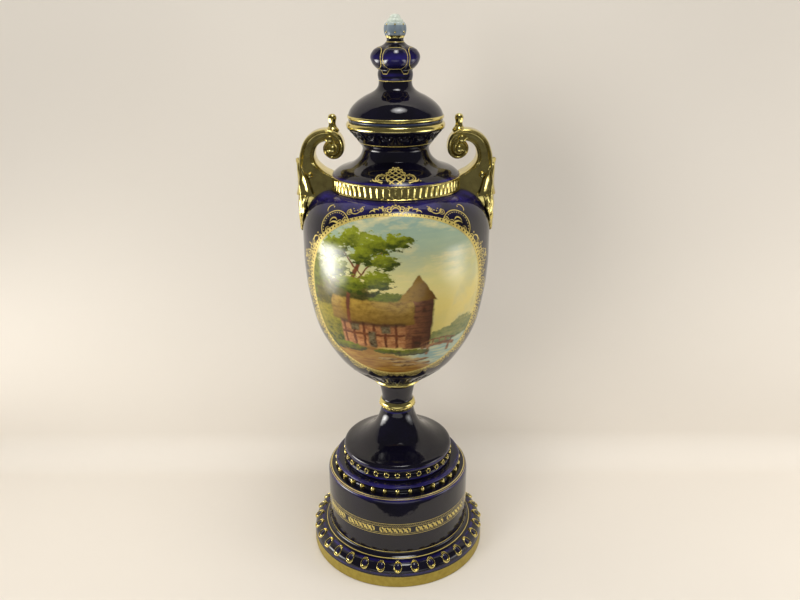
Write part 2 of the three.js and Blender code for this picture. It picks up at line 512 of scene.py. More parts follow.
class Shade:
    """One output socket, on which Python's operators add Math nodes."""

    def __init__(self, graph: Graph, socket: bpy.types.NodeSocket | None) -> None:
        """Wraps a socket of a graph; a node without outputs gives none."""
        self.graph = graph
        self.socket = socket

    def __add__(self, other: Value) -> Shade:
        """Adds a number or a shade."""
        return self.graph.math("ADD", self, other)

    __radd__ = __add__

    def __sub__(self, other: Value) -> Shade:
        """Takes a number or a shade away."""
        return self.graph.math("SUBTRACT", self, other)

    def __rsub__(self, other: Value) -> Shade:
        """Takes this away from a number."""
        return self.graph.math("SUBTRACT", other, self)

    def __mul__(self, other: Value) -> Shade:
        """Multiplies by a number or a shade."""
        return self.graph.math("MULTIPLY", self, other)

    __rmul__ = __mul__

    def __pow__(self, other: Value) -> Shade:
        """Raises to a power."""
        return self.graph.math("POWER", self, other)

    def __neg__(self) -> Shade:
        """Changes the sign."""
        return self * -1.0

    def __abs__(self) -> Shade:
        """The size without the sign."""
        return self.graph.math("ABSOLUTE", self)

    def most(self, other: Value) -> Shade:
        """The larger of the two."""
        return self.graph.math("MAXIMUM", self, other)

    def ramp(self, slope: float, start: float) -> Shade:
        """slope times this plus start, kept between 0 and 1."""
        return self.graph.math("MULTIPLY_ADD", self, slope, start, clamp=True)

    def above(self, level: float, soft: float) -> Shade:
        """1 where this is over a level, 0 under it, with a soft edge of a given width."""
        return self.ramp(1 / soft, 0.5 - level / soft)

    def within(self, half: Value, soft: float) -> Shade:
        """1 where this is nearer 0 than half, with a soft edge of a given width."""
        return ((half - abs(self)) * (1 / soft)).ramp(1.0, 0.5)

    def wrapped(self, step: float) -> Shade:
        """This, folded into steps that each run from minus half a step to half a step."""
        return self.graph.math("WRAP", self, step / 2, -step / 2)


def merged(shades: Sequence[Shade]) -> Shade | None:
    """The largest of several shades at each place, or None where there are no shades."""
    return reduce(Shade.most, shades) if shades else None


class Graph:
    """The node tree of one material."""

    def __init__(self, name: str) -> None:
        """Starts a material with an empty tree.

        Args:
            name: Its name.
        """
        self.material = bpy.data.materials.new(name)
        self.material.use_nodes = True
        self.tree = self.material.node_tree
        self.tree.nodes.clear()

    def node(
        self,
        kind: str,
        settings: dict[str, object] | None = None,
        inputs: dict[Union[int, str], object] | None = None,
        output: Union[int, str] = 0,
    ) -> Shade:
        """Adds any node.

        Args:
            kind: The node's type.
            settings: Its properties; stops gives a colour ramp's places and colours.
            inputs: Values or shades for its sockets, by name or number.
            output: Which output to return.

        Returns:
            That output.
        """
        node = self.tree.nodes.new(kind)
        for key, value in (settings or {}).items():
            if key == "stops":
                self._set_stops(node.color_ramp, value)
            else:
                setattr(node, key, value)
        for key, value in (inputs or {}).items():
            if isinstance(value, Shade):
                self.tree.links.new(value.socket, node.inputs[key])
            else:
                node.inputs[key].default_value = value
        return Shade(self, node.outputs[output] if len(node.outputs) else None)

    @staticmethod
    def _set_stops(ramp: bpy.types.ColorRamp, stops: Sequence[tuple[float, Colour]]) -> None:
        """Sets a colour ramp's stops.

        Args:
            ramp: The ramp.
            stops: Its places and colours.
        """
        while len(ramp.elements) < len(stops):
            ramp.elements.new(1.0)
        for element, (place, colour) in zip(ramp.elements, stops):
            element.position = place
            element.color = colour

    def math(self, operation: str, *values: Value, clamp: bool = False) -> Shade:
        """Adds a Math node."""
        settings = {"operation": operation, "use_clamp": clamp}
        return self.node("ShaderNodeMath", settings, dict(enumerate(values)))

    def mix(self, share: Value, first: object, second: object) -> Shade:
        """Mixes two colours; share 0 gives the first."""
        settings = {"data_type": "RGBA", "clamp_factor": True}
        return self.node("ShaderNodeMix", settings, {0: share, 6: first, 7: second}, output=2)

    def ramp(self, share: Shade, stops: Sequence[tuple[float, Colour]]) -> Shade:
        """A colour ramp."""
        return self.node("ShaderNodeValToRGB", {"stops": stops}, {0: share})

    def noise(
        self, scale: float, detail: float = 3.0, roughness: float = 0.5, place: Shade | None = None
    ) -> Shade:
        """Adds noise, 0 to 1.

        Args:
            scale: How many grains there are in a metre.
            detail: How many finer layers it has.
            roughness: How strong the finer layers are.
            place: Where it is read, or the Object coordinates.

        Returns:
            The noise.
        """
        place = place or self.node("ShaderNodeTexCoord", output="Object")
        inputs = {"Vector": place, "Scale": scale, "Detail": detail, "Roughness": roughness}
        return self.node("ShaderNodeTexNoise", {}, inputs)

    def wear(self, patches: float, scratches: float) -> Shade:
        """Soft patches with finer marks in them, 0 to 1."""
        return self.noise(patches, 4.0) * 0.6 + self.noise(scratches, 5.0, 0.65) * 0.4

    def finish(self, inputs: dict[str, object], bump: Shade | None, depth: float) -> Finish:
        """Ends the tree in one Principled shader.

        Args:
            inputs: Values and shades for the shader's sockets.
            bump: A height for the surface's fine relief.
            depth: How deep a height of 1 is, in mm.

        Returns:
            The material.
        """
        if bump:
            inputs = dict(inputs)
            sockets = {"Strength": 1.0, "Distance": depth * MM, "Height": bump}
            inputs["Normal"] = self.node("ShaderNodeBump", {}, sockets)
        shader = self.node("ShaderNodeBsdfPrincipled", {}, inputs)
        self.node("ShaderNodeOutputMaterial", {}, {"Surface": shader})
        return self.material


class Wall:
    """Places on a turned piece, in mm, as shades of one graph."""

    def __init__(self, graph: Graph) -> None:
        """Reads the Object coordinates and the run.

        Args:
            graph: The material's graph.
        """
        self.graph = graph
        place = graph.node("ShaderNodeTexCoord", output="Object")
        scaling = {0: place, "Scale": 1 / MM}
        scaled = graph.node("ShaderNodeVectorMath", {"operation": "SCALE"}, scaling)
        split = graph.node("ShaderNodeSeparateXYZ", {}, {0: scaled})
        x, y, self.z = (Shade(graph, socket) for socket in split.socket.node.outputs)
        self.run = graph.node("ShaderNodeAttribute", {"attribute_name": RUN}, output="Fac")
        self.turn = graph.math("ARCTAN2", x, -y)

    def across(self, radius: float) -> Shade:
        """The length round a circle from the nearer of the front and the back."""
        quarter = math.pi / 2
        return (quarter - abs(quarter - abs(self.turn))) * radius


class Sheet:
    """A flat sheet of two lengths in mm laid over a wall, on which gold is drawn."""

    CURL_HALF = 0.3

    def __init__(self, graph: Graph, x: Shade, y: Shade, soft: float = 0.22) -> None:
        """Takes the two lengths.

        Args:
            graph: The material's graph.
            x: The length across.
            y: The length upwards.
            soft: How soft the edges of a stroke are.
        """
        self.graph = graph
        self.x = x
        self.y = y
        self.soft = soft
        self.place = graph.node("ShaderNodeCombineXYZ", {}, {0: x, 1: y})

    def far(self, x: float, y: float) -> Shade:
        """The distance from a point."""
        return self._against("DISTANCE", x, y)

    def beyond(self, across: float, up: float, level: float) -> Shade:
        """1 on the far side of a straight line, given by its normal and its distance."""
        return self._against("DOT_PRODUCT", across, up).above(level, self.soft)

    def _against(self, operation: str, x: float, y: float) -> Shade:
        """Sets each place on the sheet against two numbers, by one vector operation."""
        inputs = {0: self.place, 1: (x, y, 0.0)}
        return self.graph.node("ShaderNodeVectorMath", {"operation": operation}, inputs, output="Value")

    def dot(self, x: float, y: float, radius: float) -> Shade:
        """A filled disc."""
        return self.far(x, y).ramp(-1 / self.soft, radius / self.soft + 0.5)

    def ring(self, x: float, y: float, radius: float, half: float) -> Shade:
        """A circle drawn with a line of a given half width."""
        return (self.far(x, y) - radius).within(half, self.soft)

    def arc(self, x: float, y: float, radius: float, open_to: float, span: float, half: float) -> Shade:
        """A circle with a piece cut away.

        Args:
            x: Its centre across.
            y: Its centre upwards.
            radius: Its radius.
            open_to: The direction, in degrees, in which it is open.
            span: How far the cut is from the centre.
            half: Half the line's width.

        Returns:
            The stroke.
        """
        across, up = math.cos(math.radians(open_to)), math.sin(math.radians(open_to))
        kept = self.beyond(-across, -up, -(across * x + up * y) - span)
        return self.ring(x, y, radius, half) * kept

    def sickle(self, x: float, y: float, radius: float, towards: float, thick: float) -> Shade:
        """A stroke that swells in its middle and thins to points, as a brush leaves it.

        Args:
            x: The centre of its outer edge, across.
            y: The same, upwards.
            radius: The radius of that edge.
            towards: The direction, in degrees, in which it is open.
            thick: Its width in the middle.

        Returns:
            The stroke.
        """
        angle = math.radians(towards)
        inner = self.dot(x + thick * math.cos(angle), y + thick * math.sin(angle), radius)
        return (self.dot(x, y, radius) - inner).most(0.0)

    def curl(self, x: float, y: float, radius: float, pitch: float, start: float, hand: int = 1) -> Shade:
        """A spiral scroll end.

        Args:
            x: Its centre across.
            y: Its centre upwards.
            radius: How far out it goes.
            pitch: The distance between two turns.
            start: The direction, in degrees, in which its outer end lies.
            hand: 1 to wind one way and -1 the other.

        Returns:
            The stroke.
        """
        far = self.far(x, y)
        angle = self.graph.math("ARCTAN2", self.y - y, (self.x - x) * float(hand))
        end = radius / pitch - math.radians(start) / FULL_TURN
        phase = far * (1 / pitch) - angle * (1 / FULL_TURN) - end
        stroke = (phase.wrapped(1.0) * pitch).within(self.CURL_HALF, self.soft)
        return stroke * far.ramp(-1 / self.soft, (radius + self.CURL_HALF) / self.soft)

    def drawn(self, **strokes: Sequence[tuple[float, ...]]) -> Shade:
        """Many strokes as one.

        Args:
            **strokes: A row for each stroke, under the name of the method that draws it.

        Returns:
            All of them.
        """
        return merged([getattr(self, kind)(*row) for kind, rows in strokes.items() for row in rows])


# ---------------- finishes

GOLD = (0.84, 0.72, 0.26, 1.0)
GOLD_WORN = (0.48, 0.38, 0.13, 1.0)
COBALT_DEEP = (0.0030, 0.0025, 0.0055, 1.0)
COBALT = (0.0046, 0.0038, 0.0130, 1.0)
COBALT_MID = (0.010, 0.008, 0.050, 1.0)
COBALT_THIN = (0.022, 0.016, 0.150, 1.0)
PORCELAIN = tint(214, 214, 206)
BISCUIT = tint(196, 190, 176)
BISCUIT_DARK = tint(168, 160, 146)
GLAZE_ROUGHNESS = 0.06
GLAZE_IOR = 1.52
GOLD_ROUGHNESS = 0.11


@dataclass(frozen=True)
class Band:
    """A stretch of a turned outline, from one place on it to another."""

    start: tuple[float, float]
    end: tuple[float, float]

    def mask(self, wall: Wall, outline: Outline, soft: float = 0.25) -> Shade:
        """1 on the stretch.

        Args:
            wall: Places on the piece.
            outline: The piece's outline.
            soft: How soft its edges are, in mm.

        Returns:
            The mask.
        """
        first, last = sorted((outline.run_at(*self.start), outline.run_at(*self.end)))
        middle, half = (first + last) / 2, (last - first) / 2
        return (wall.run - middle).within(half, soft)


@dataclass(frozen=True)
class Coat:
    """A kind of gold that lies over the glaze.

    Attributes:
        fresh: Its colour.
        worn: Its colour where it is rubbed.
        metal: How metallic it is.
        rough: How much rougher than the glaze it is.
        rubbed: How much rougher still where it is rubbed.
        wear: How fine the patches and the scratches of its wear are.
        shown: The slope and start that make its wear the share of the worn colour.
    """

    fresh: Colour
    worn: Colour
    metal: float
    rough: float
    rubbed: float
    wear: tuple[float, float] = (140.0, 1400.0)
    shown: tuple[float, float] = (2.2, -1.0)


BRUSHED = Coat(tint(222, 202, 114), tint(166, 140, 66), 0.38, 0.26, 0.12, shown=(2.6, -1.0))
BURNISHED = Coat(GOLD, GOLD_WORN, 1.0, GOLD_ROUGHNESS - GLAZE_ROUGHNESS, 0.10)
MATT = Coat(tint(178, 160, 74), tint(138, 118, 46), 0.72, 0.34, 0.2, (260.0, 2600.0), (2.0, -0.7))


@dataclass(frozen=True)
class Glaze:
    """Cobalt glaze with gilding over it, on a turned piece.

    Attributes:
        name: The material's name.
        outline: The outline that the piece was spun from.
        gold: Stretches that are burnished gold all over.
        flat_gold: Stretches of unburnished gold.
        lines: Painted lines, each a radius, a height and half a width.
        thin: Edges where the glaze runs thin, each a radius, a height and a reach.
        pale: Stretches of white or tinted glaze, each with its colour; on the lid one is a painted highlight.
        bare: Stretches left unglazed.
        ornament: Draws further gold over the wall.
        picture: Paints enamel over the glaze and says where it shows.
    """

    SPECKLE = 0.82
    ENAMEL_ROUGHNESS = 0.11
    BARE_ROUGHNESS = 0.6
    RIPPLE = 0.16

    name: str
    outline: Outline
    gold: tuple[Band, ...] = ()
    flat_gold: tuple[Band, ...] = ()
    lines: tuple[tuple[float, float, float], ...] = ()
    thin: tuple[tuple[float, float, float], ...] = ()
    pale: tuple[tuple[Band, Colour], ...] = ()
    bare: tuple[Band, ...] = ()
    ornament: Callable[[Wall], Shade] | None = None
    picture: Callable[[Wall], tuple[Shade, Shade]] | None = None

    def material(self) -> Finish:
        """Builds the material.

        Returns:
            The material.
        """
        graph = Graph(self.name)
        wall = Wall(graph)
        colour = self._glaze_colour(graph, wall)
        rough, metal = graph.noise(60.0, 2.0) * 0.02 + GLAZE_ROUGHNESS, 0.0
        for band, light in self.pale:
            shaded = tuple(self.SPECKLE * share for share in light[:3]) + (1.0,)
            speckled = graph.mix(graph.noise(900.0), light, shaded)
            colour = graph.mix(band.mask(wall, self.outline), colour, speckled)
        if self.picture:
            painted, shown = self.picture(wall)
            colour = graph.mix(shown, colour, painted)
            rough = rough + shown * self.ENAMEL_ROUGHNESS
        for coat, mask in (
            (BRUSHED, self._brushed(wall)),
            (BURNISHED, self._bands(wall, self.gold)),
            (MATT, self._bands(wall, self.flat_gold)),
        ):
            if mask:
                wear = graph.wear(*coat.wear)
                gold = graph.mix(wear.ramp(*coat.shown), coat.fresh, coat.worn)
                colour = graph.mix(mask, colour, gold)
                metal = (mask * coat.metal).most(metal)
                rough = rough + mask * (wear * coat.rubbed + coat.rough)
        bare = self._bands(wall, self.bare)
        if bare:
            biscuit = graph.mix(graph.noise(1800.0, 6.0), BISCUIT, BISCUIT_DARK)
            colour = graph.mix(bare, colour, biscuit)
            rough = rough + bare * self.BARE_ROUGHNESS
        sockets = {"Base Color": colour, "Metallic": metal, "Roughness": rough, "IOR": GLAZE_IOR}
        return graph.finish(sockets, graph.noise(95.0, 2.0) + graph.noise(700.0, 3.0) * 0.05, self.RIPPLE)

    def _glaze_colour(self, graph: Graph, wall: Wall) -> Shade:
        """Near-black cobalt, bluer where it pools less and on the thin edges.

        Args:
            graph: The material's graph.
            wall: Places on the piece.

        Returns:
            The colour.
        """
        colour = graph.mix(graph.noise(42.0, 4.0).ramp(2.4, -0.7), COBALT_DEEP, COBALT)
        for r, z, reach in self.thin:
            away = wall.run - self.outline.run_at(r, z)
            edge = (1.0 - abs(away) * (1 / reach)).ramp(1.0, 0.0)
            share = edge * edge * graph.noise(70.0, 3.0).ramp(2.4, -0.6)
            colour = graph.mix(share, colour, COBALT_THIN)
        return colour

    def _bands(self, wall: Wall, bands: Sequence[Band]) -> Shade | None:
        """Several stretches as one mask."""
        return merged([band.mask(wall, self.outline) for band in bands])

    def _brushed(self, wall: Wall) -> Shade | None:
        """All of the gold that is laid on with a brush.

        Args:
            wall: Places on the piece.

        Returns:
            The mask, or None where there is no such gold.
        """
        runs = [(self.outline.run_at(r, z), half) for r, z, half in self.lines]
        strokes = [(wall.run - run).within(half, 0.2) for run, half in runs]
        if self.ornament:
            strokes.append(self.ornament(wall))
        return merged(strokes)


@dataclass(frozen=True)
class Gilding:
    """Burnished gold over relief, darker where hands and dust have worn it."""

    name: str
    roughness: float = GOLD_ROUGHNESS
    hammer: float = 0.12

    def material(self) -> Finish:
        """Builds the material.

        Returns:
            The material.
        """
        graph = Graph(self.name)
        wear = graph.wear(150.0, 1500.0)
        colour = graph.mix(wear.ramp(3.0, -1.25), GOLD, GOLD_WORN)
        rough = self.roughness + wear * 0.14
        relief = graph.noise(260.0, 3.0) + graph.noise(95.0, 2.0) * 1.2 + graph.noise(1500.0, 2.0) * 0.15
        sockets = {"Base Color": colour, "Metallic": 1.0, "Roughness": rough}
        return graph.finish(sockets, relief, self.hammer)


@dataclass(frozen=True)
class PlainGlaze:
    """Glaze of one colour that varies softly, on small relief."""

    name: str
    deep: Colour = COBALT
    light: Colour = COBALT_THIN
    roughness: float = GLAZE_ROUGHNESS

    def material(self) -> Finish:
        """Builds the material.

        Returns:
            The material.
        """
        graph = Graph(self.name)
        colour = graph.mix(graph.noise(320.0, 3.0).ramp(2.0, -0.6), self.deep, self.light)
        rough = self.roughness + graph.noise(90.0, 2.0) * 0.03
        sockets = {"Base Color": colour, "Roughness": rough, "IOR": GLAZE_IOR}
        return graph.finish(sockets, graph.noise(400.0, 2.0), 0.05)


# ---------------- dressing


def dress(piece: Piece, slot: Slot, *materials: Finish, node: str | None = None) -> None:
    """Gives a finished piece its materials and its place on the frame.

    Args:
        piece: The piece.
        slot: Its material slot; not used.
        *materials: Its materials, in the order its faces name them.
        node: The CAD node that it stands for, if any.
    """
    for material in materials:
        piece.data.materials.append(material)
    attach(piece, "root")
    if node:
        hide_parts(node)
    LOG.info("%s: %d faces", piece.name, len(piece.data.polygons))


# ---------------- plinth


@dataclass
class Plinth:
    """The round plinth: a gilt foot band, a flange of ovals, a drum and a cove of drops."""

    steps: int = 256
    flange_lean: float = 54.0
    oval_radius: float = 73.6
    oval_height: float = 18.4
    drop_radius: float = 55.0
    drop_height: float = 80.7
    frieze_middle: float = 48.65
    frieze_half: float = 5.8
    frieze_rules: tuple[tuple[float, float], ...] = ((-5.4, 0.2), (-3.9, 0.15), (2.7, 0.15), (5.3, 0.18))
    frieze_leaves: int = 88
    frieze_group: int = 7

    def __post_init__(self) -> None:
        """Draws the outline, from inside the top round to the top's middle."""
        self.outline = Outline([
            Knot(0, 81.5), Knot(49, 81.5, 2), Knot(49, 76, 2), Knot(58.5, 72, 3),
            Knot(58.5, 19, 4), Knot(71.7, 10, 3), Knot(71.7, 0, 1),
            Knot(FOOT_BAND_RADIUS - 0.5, 0, 0.6), Knot(FOOT_BAND_RADIUS, 0.8, 0.5),
            Knot(FOOT_BAND_RADIUS, 11.1, 0.5),
            *curve([(77.4, 12), (77.2, 14), (76.2, 16.6), (74.4, 18.7), (72.2, 20.1), (70, 20.7)], 14),
            Knot(66.9, 21, 0.5), *curve([(66.2, 21.6), (64.4, 22.6), (63.3, 24.3), (DRUM_RADIUS, 26.4)], 8),
            Knot(DRUM_RADIUS, 50), Knot(DRUM_RADIUS, 72.6),
            *curve([(62.9, 74.4), (62.3, 76.8), (61, 78.2), (59.4, 78.7)], 8),
            Knot(55, 78.7, 0.8), *curve([(53.9, 79.6), (53.3, 81.4), (53.7, 83.2)], 6),
            Knot(54.6, 83.8, 0.5), *curve([(55.7, 84.3), (56, 85.2), (55.5, 86.2), (54.6, PLINTH_TOP)], 6),
            Knot(49, PLINTH_TOP), Knot(0, PLINTH_TOP),
        ])

    def build(self) -> None:
        """Builds and dresses every piece of the plinth."""
        drum = smooth_off(spun("plinth_drum", self.outline, self.steps))
        dress(drum, Slot.PLINTH, self._glaze().material(), node="plinth")
        gold = Gilding("plinth_gold").material()
        blue = PlainGlaze("plinth_oval_blue", COBALT, COBALT_MID).material()
        dress(self._ovals(), Slot.PLINTH, gold, blue)
        dress(self._drops(), Slot.PLINTH, gold)

    def _glaze(self) -> Glaze:
        """Cobalt, a flat gilt foot band, gilt lines and the printed frieze.

        Returns:
            The finish.
        """
        return Glaze(
            "plinth_cobalt",
            self.outline,
            gold=(Band((60.8, 78.3), (60.0, 78.6)),),
            flat_gold=(Band((FOOT_BAND_RADIUS - 0.4, 0.3), (FOOT_BAND_RADIUS, 10.9)),),
            lines=((66.4, 21.4, 0.3), (63.1, 25.2, 0.28), (61.6, 77.7, 0.2)),
            thin=(
                (77.2, 13.0, 1.6), (61.8, 77.4, 4.6), (55.9, 85.4, 3.2), (54.3, PLINTH_TOP, 4.0),
                (70.0, 20.7, 3.0),
            ),
            bare=(Band((71.7, 1.5), (FOOT_BAND_RADIUS - 0.6, 0.0)),),
            pale=((Band((0, 81.5), (71.7, 2.0)), PORCELAIN),),
            ornament=self._frieze,
        )

    def _frieze(self, wall: Wall) -> Shade:
        """Pairs of rules with a hatched border above and groups of small leaves between.

        Args:
            wall: Places on the piece.

        Returns:
            The mask.
        """
        around, up = wall.turn * DRUM_RADIUS, wall.z - self.frieze_middle
        rules = [(up - at).within(half, 0.14) for at, half in self.frieze_rules]
        hatch = (around + up * 1.2).wrapped(1.7).within(0.16, 0.16) * (up - 4.0).within(0.55, 0.2)
        cell = FULL_TURN * DRUM_RADIUS / self.frieze_leaves
        leaves = Sheet(wall.graph, around.wrapped(cell), up + 0.9, 0.2).drawn(
            sickle=((-1.0, 0.5, 1.7, 20, 1.5), (1.0, -0.3, 1.7, 200, 1.5)),
            dot=((0.3, 1.9, 0.72), (-0.5, -1.9, 0.72), (1.6, 1.6, 0.45), (-1.6, -1.4, 0.45)),
        )
        group = (around + cell * 0.5).wrapped(cell * self.frieze_group).within(cell * 3.02, 0.3)
        outside = wall.run.above(self.outline.run_at(DRUM_RADIUS, 26), 0.5)
        return merged([*rules, hatch, leaves * group]) * up.within(self.frieze_half, 0.2) * outside

    def _ovals(self) -> Piece:
        """Egg-shaped gilt rims round cobalt centres, on the flange.

        Returns:
            The ring of ovals.
        """
        outline = Outline([
            Knot(0, 1.5), *curve([(1.2, 1.4), (2.2, 1.0), (2.75, 0.5)], 5),
            *curve([(2.85, 0.95), (3.1, 1.4), (3.45, 1.2), (3.7, 0.3)], 8),
            Knot(3.7, -1.2), Knot(0, -1.2),
        ])
        lean, out = math.radians(self.flange_lean), 0.6
        eye = (self.oval_radius + out * math.cos(lean), self.oval_height + out * math.sin(lean), 2.8)
        return Boss(
            "plinth_ovals", outline, 28, self.oval_radius, self.oval_height, self.flange_lean,
            egg=-0.14, stretch=1.42, eye=eye,
        ).ring()

    def _drops(self) -> Piece:
        """Solid gilt teardrops in the cove under the plinth's lip.

        Returns:
            The ring of drops.
        """
        outline = Outline([
            *curve([(0, 1.9), (1.0, 1.7), (1.7, 0.9), (1.9, -0.4)], 7), Knot(1.9, -1.6), Knot(0, -1.6),
        ])
        radius, height = self.drop_radius, self.drop_height
        return Boss("plinth_drops", outline, 16, radius, height, egg=-0.12, stretch=1.95).ring()


# ---------------- urn: painting


@dataclass(frozen=True)
class Reserve:
    """The oval reserve on the front of the body: its edge, its gilt frame and its lace.

    Attributes:
        outline: The urn's outline.
        half_width: Half its width round the body, in mm.
        half_height: Half its height along the outline.
        middle: A radius and height on the outline at its middle.
        frame: The gilt frame's width.
        lace: Where the lace outside the frame ends.
        lace_cells: How many times the lace repeats round it.
        bend: The power that makes the oval fuller than an ellipse.
        frame_radius: The radius that makes a turn about the middle a length round the frame.
        bead_step: How far apart the beads on the frame's edge are.
        dot_step: How far apart the dark dots in it are.
    """

    outline: Outline
    half_width: float = 77.5
    half_height: float = 69.0
    middle: tuple[float, float] = (73.9, 257.0)
    frame: float = 2.5
    lace: float = 8.6
    lace_cells: int = 19
    bend: float = 2.2
    frame_radius: float = 73.0
    bead_step: float = 1.65
    dot_step: float = 3.3

    def up(self, wall: Wall) -> Shade:
        """The length along the outline above the middle."""
        return wall.run - self.outline.run_at(*self.middle)

    def out(self, wall: Wall) -> Shade:
        """How far outside the edge a place is; the lengths widen towards the sides.

        Args:
            wall: Places on the piece.

        Returns:
            The distance in mm, negative inside.
        """
        across, up = wall.across(BODY_RADIUS), self.up(wall)
        width_share = (across * (1 / self.half_width)) ** self.bend
        size = (width_share + (abs(up) * (1 / self.half_height)) ** self.bend) ** (1 / self.bend)
        far = (across * across + up * up) ** 0.5
        widened = across * across * (0.9 / self.half_width**2) + 1.0
        return far * (1.0 - size ** -1.0) * widened ** -1.0

    def front(self, wall: Wall) -> Shade:
        """1 on the front half of the body."""
        return wall.turn.within(math.pi / 2, 0.01)

    def edging(self, wall: Wall) -> Shade:
        """The gilt frame with its dark dots and beaded edge, and the lace outside it.

        Args:
            wall: Places on the piece.

        Returns:
            The mask.
        """
        out, across = self.out(wall), wall.across(BODY_RADIUS)
        rise, width = self.up(wall) * (1 / self.half_height), across * (1 / self.half_width)
        along = wall.graph.math("ARCTAN2", rise, width) * self.frame_radius
        beaded = out + wall.graph.math("COSINE", along * (FULL_TURN / self.bead_step)) * 0.14
        frame = (beaded - self.frame / 2).within(self.frame / 2, 0.2)
        dots = Sheet(wall.graph, along.wrapped(self.dot_step), out - self.frame * 0.62, 0.2).dot(0, 0, 0.56)
        lace = self._lace(wall.graph, along, out) * self.up(wall).ramp(-0.25, 11.0)
        rule = (out - 0.5).within(0.45, 0.2)
        front = self.front(wall)
        return (frame * (1.0 - dots)).most(lace) * front + rule * (1.0 - front)

    def _lace(self, graph: Graph, along: Shade, out: Shade) -> Shade:
        """Small palmettes and sprigs by turns round the frame, with dark glaze between.

        Args:
            graph: The material's graph.
            along: The length round the frame.
            out: The distance outside it.

        Returns:
            The mask.
        """
        cell = FULL_TURN * self.frame_radius / self.lace_cells
        half = cell / 2
        lace = Sheet(graph, abs(along.wrapped(cell)), out - self.frame, 0.2).drawn(
            ring=((0, 2.0, 1.8, 0.26), (4.0, 1.7, 1.5, 0.25), (7.1, 1.3, 1.1, 0.24), (half, 1.4, 1.2, 0.24)),
            dot=(
                (0, 2.0, 0.6), (0, 4.9, 0.75), (4.0, 1.7, 0.5), (4.6, 4.1, 0.5), (6.4, 3.3, 0.5),
                (8.8, 0.9, 0.45), (half, 3.6, 0.55), (half - 1.9, 2.3, 0.4),
            ),
            sickle=((2.4, 4.4, 1.3, 300, 0.8),),
        )
        return lace * out.within(self.lace, 0.3)


@dataclass(frozen=True)
class Scrollwork:
    """The gilt scrolls over the reserve, drawn on one half and mirrored about the middle.

    The crest is the palmette over the middle of the frame with its leafy arms. The pair is the
    small double scroll beside it, the fan the large open scroll in the corner, and the side
    scrolls lead from there down into the lace.
    """

    CREST = {
        "dot": ((0, 79.8, 1.0), (2.6, 79.2, 0.6), (11.0, 77.6, 0.95), (13.6, 76.9, 0.55), (17.6, 75.0, 0.7)),
        "sickle": (
            (0, 75.0, 2.7, 270, 1.3), (2.2, 76.6, 2.2, 215, 1.3), (5.6, 76.4, 1.9, 240, 1.1),
            (12.2, 74.6, 2.4, 300, 1.2), (15.4, 73.4, 2.2, 250, 1.1), (18.2, 71.8, 2.2, 260, 1.0),
        ),
        "ring": ((4.9, 74.0, 1.5, 0.35),),
        "curl": ((8.6, 74.6, 2.2, 1.4, 200),),
    }
    PAIR = {
        "curl": ((28.0, 73.6, 2.1, 1.4, 270), (37.0, 70.6, 2.5, 1.5, 270, -1)),
        "arc": ((32.6, 74.2, 4.9, 70, 0.6, 0.36),),
        "dot": ((31.0, 72.6, 0.5), (33.0, 71.8, 0.5), (34.6, 73.6, 0.45), (26.8, 76.6, 0.5)),
    }
    FAN = {
        "arc": ((46.5, 57.5, 12.4, 231, 3.0, 0.38),),
        "sickle": ((46.9, 56.1, 5.6, 300, 1.5), (48.5, 61.1, 3.4, 250, 1.1), (56.6, 70.2, 3.4, 200, 1.1)),
        "curl": ((42.5, 60.5, 2.5, 1.5, 90), (51.9, 53.9, 2.3, 1.5, 20), (38.6, 63.4, 2.1, 1.4, 60)),
        "dot": ((47.1, 57.9, 0.7), (44.9, 54.5, 0.6), (54.2, 72.2, 0.6)),
    }
    SIDE = {
        "curl": ((58.6, 46.4, 2.6, 1.6, 120), (65.4, 38.2, 2.4, 1.5, 100)),
        "sickle": ((62.8, 43.6, 4.0, 220, 1.2),),
        "ring": ((70.2, 33.6, 1.8, 0.36),),
        "dot": ((61.8, 49.6, 0.7), (66.8, 43.4, 0.6)),
    }

    reserve: Reserve
    radius: float = 68.0
    fan_middle: tuple[float, float] = (46.5, 57.5)
    bead_course: float = 10.7
    bead_step: float = 2.2
    bead_radius: float = 0.46

    def mask(self, wall: Wall) -> Shade:
        """All of the scrolls.

        Args:
            wall: Places on the body.

        Returns:
            The mask.
        """
        sheet = Sheet(wall.graph, wall.across(self.radius), self.reserve.up(wall))
        parts = [sheet.drawn(**strokes) for strokes in (self.CREST, self.PAIR, self.FAN, self.SIDE)]
        kept = self.reserve.out(wall).above(self.reserve.frame * 0.7, 0.3)
        return merged([*parts, self._beads(sheet)]) * kept

    def _beads(self, sheet: Sheet) -> Shade:
        """The beads that edge the fan, but for its open side.

        Args:
            sheet: The sheet that they are drawn on.

        Returns:
            The mask.
        """
        x, y = self.fan_middle
        off = sheet.far(x, y) - self.bead_course
        angle = sheet.graph.math("ARCTAN2", sheet.y - y, sheet.x - x) * self.bead_course
        along = angle.wrapped(self.bead_step)
        dots = ((off * off + along * along) ** 0.5).within(self.bead_radius, sheet.soft)
        return dots * sheet.beyond(0.63, 0.777, 0.63 * x + 0.777 * y - 1.0)


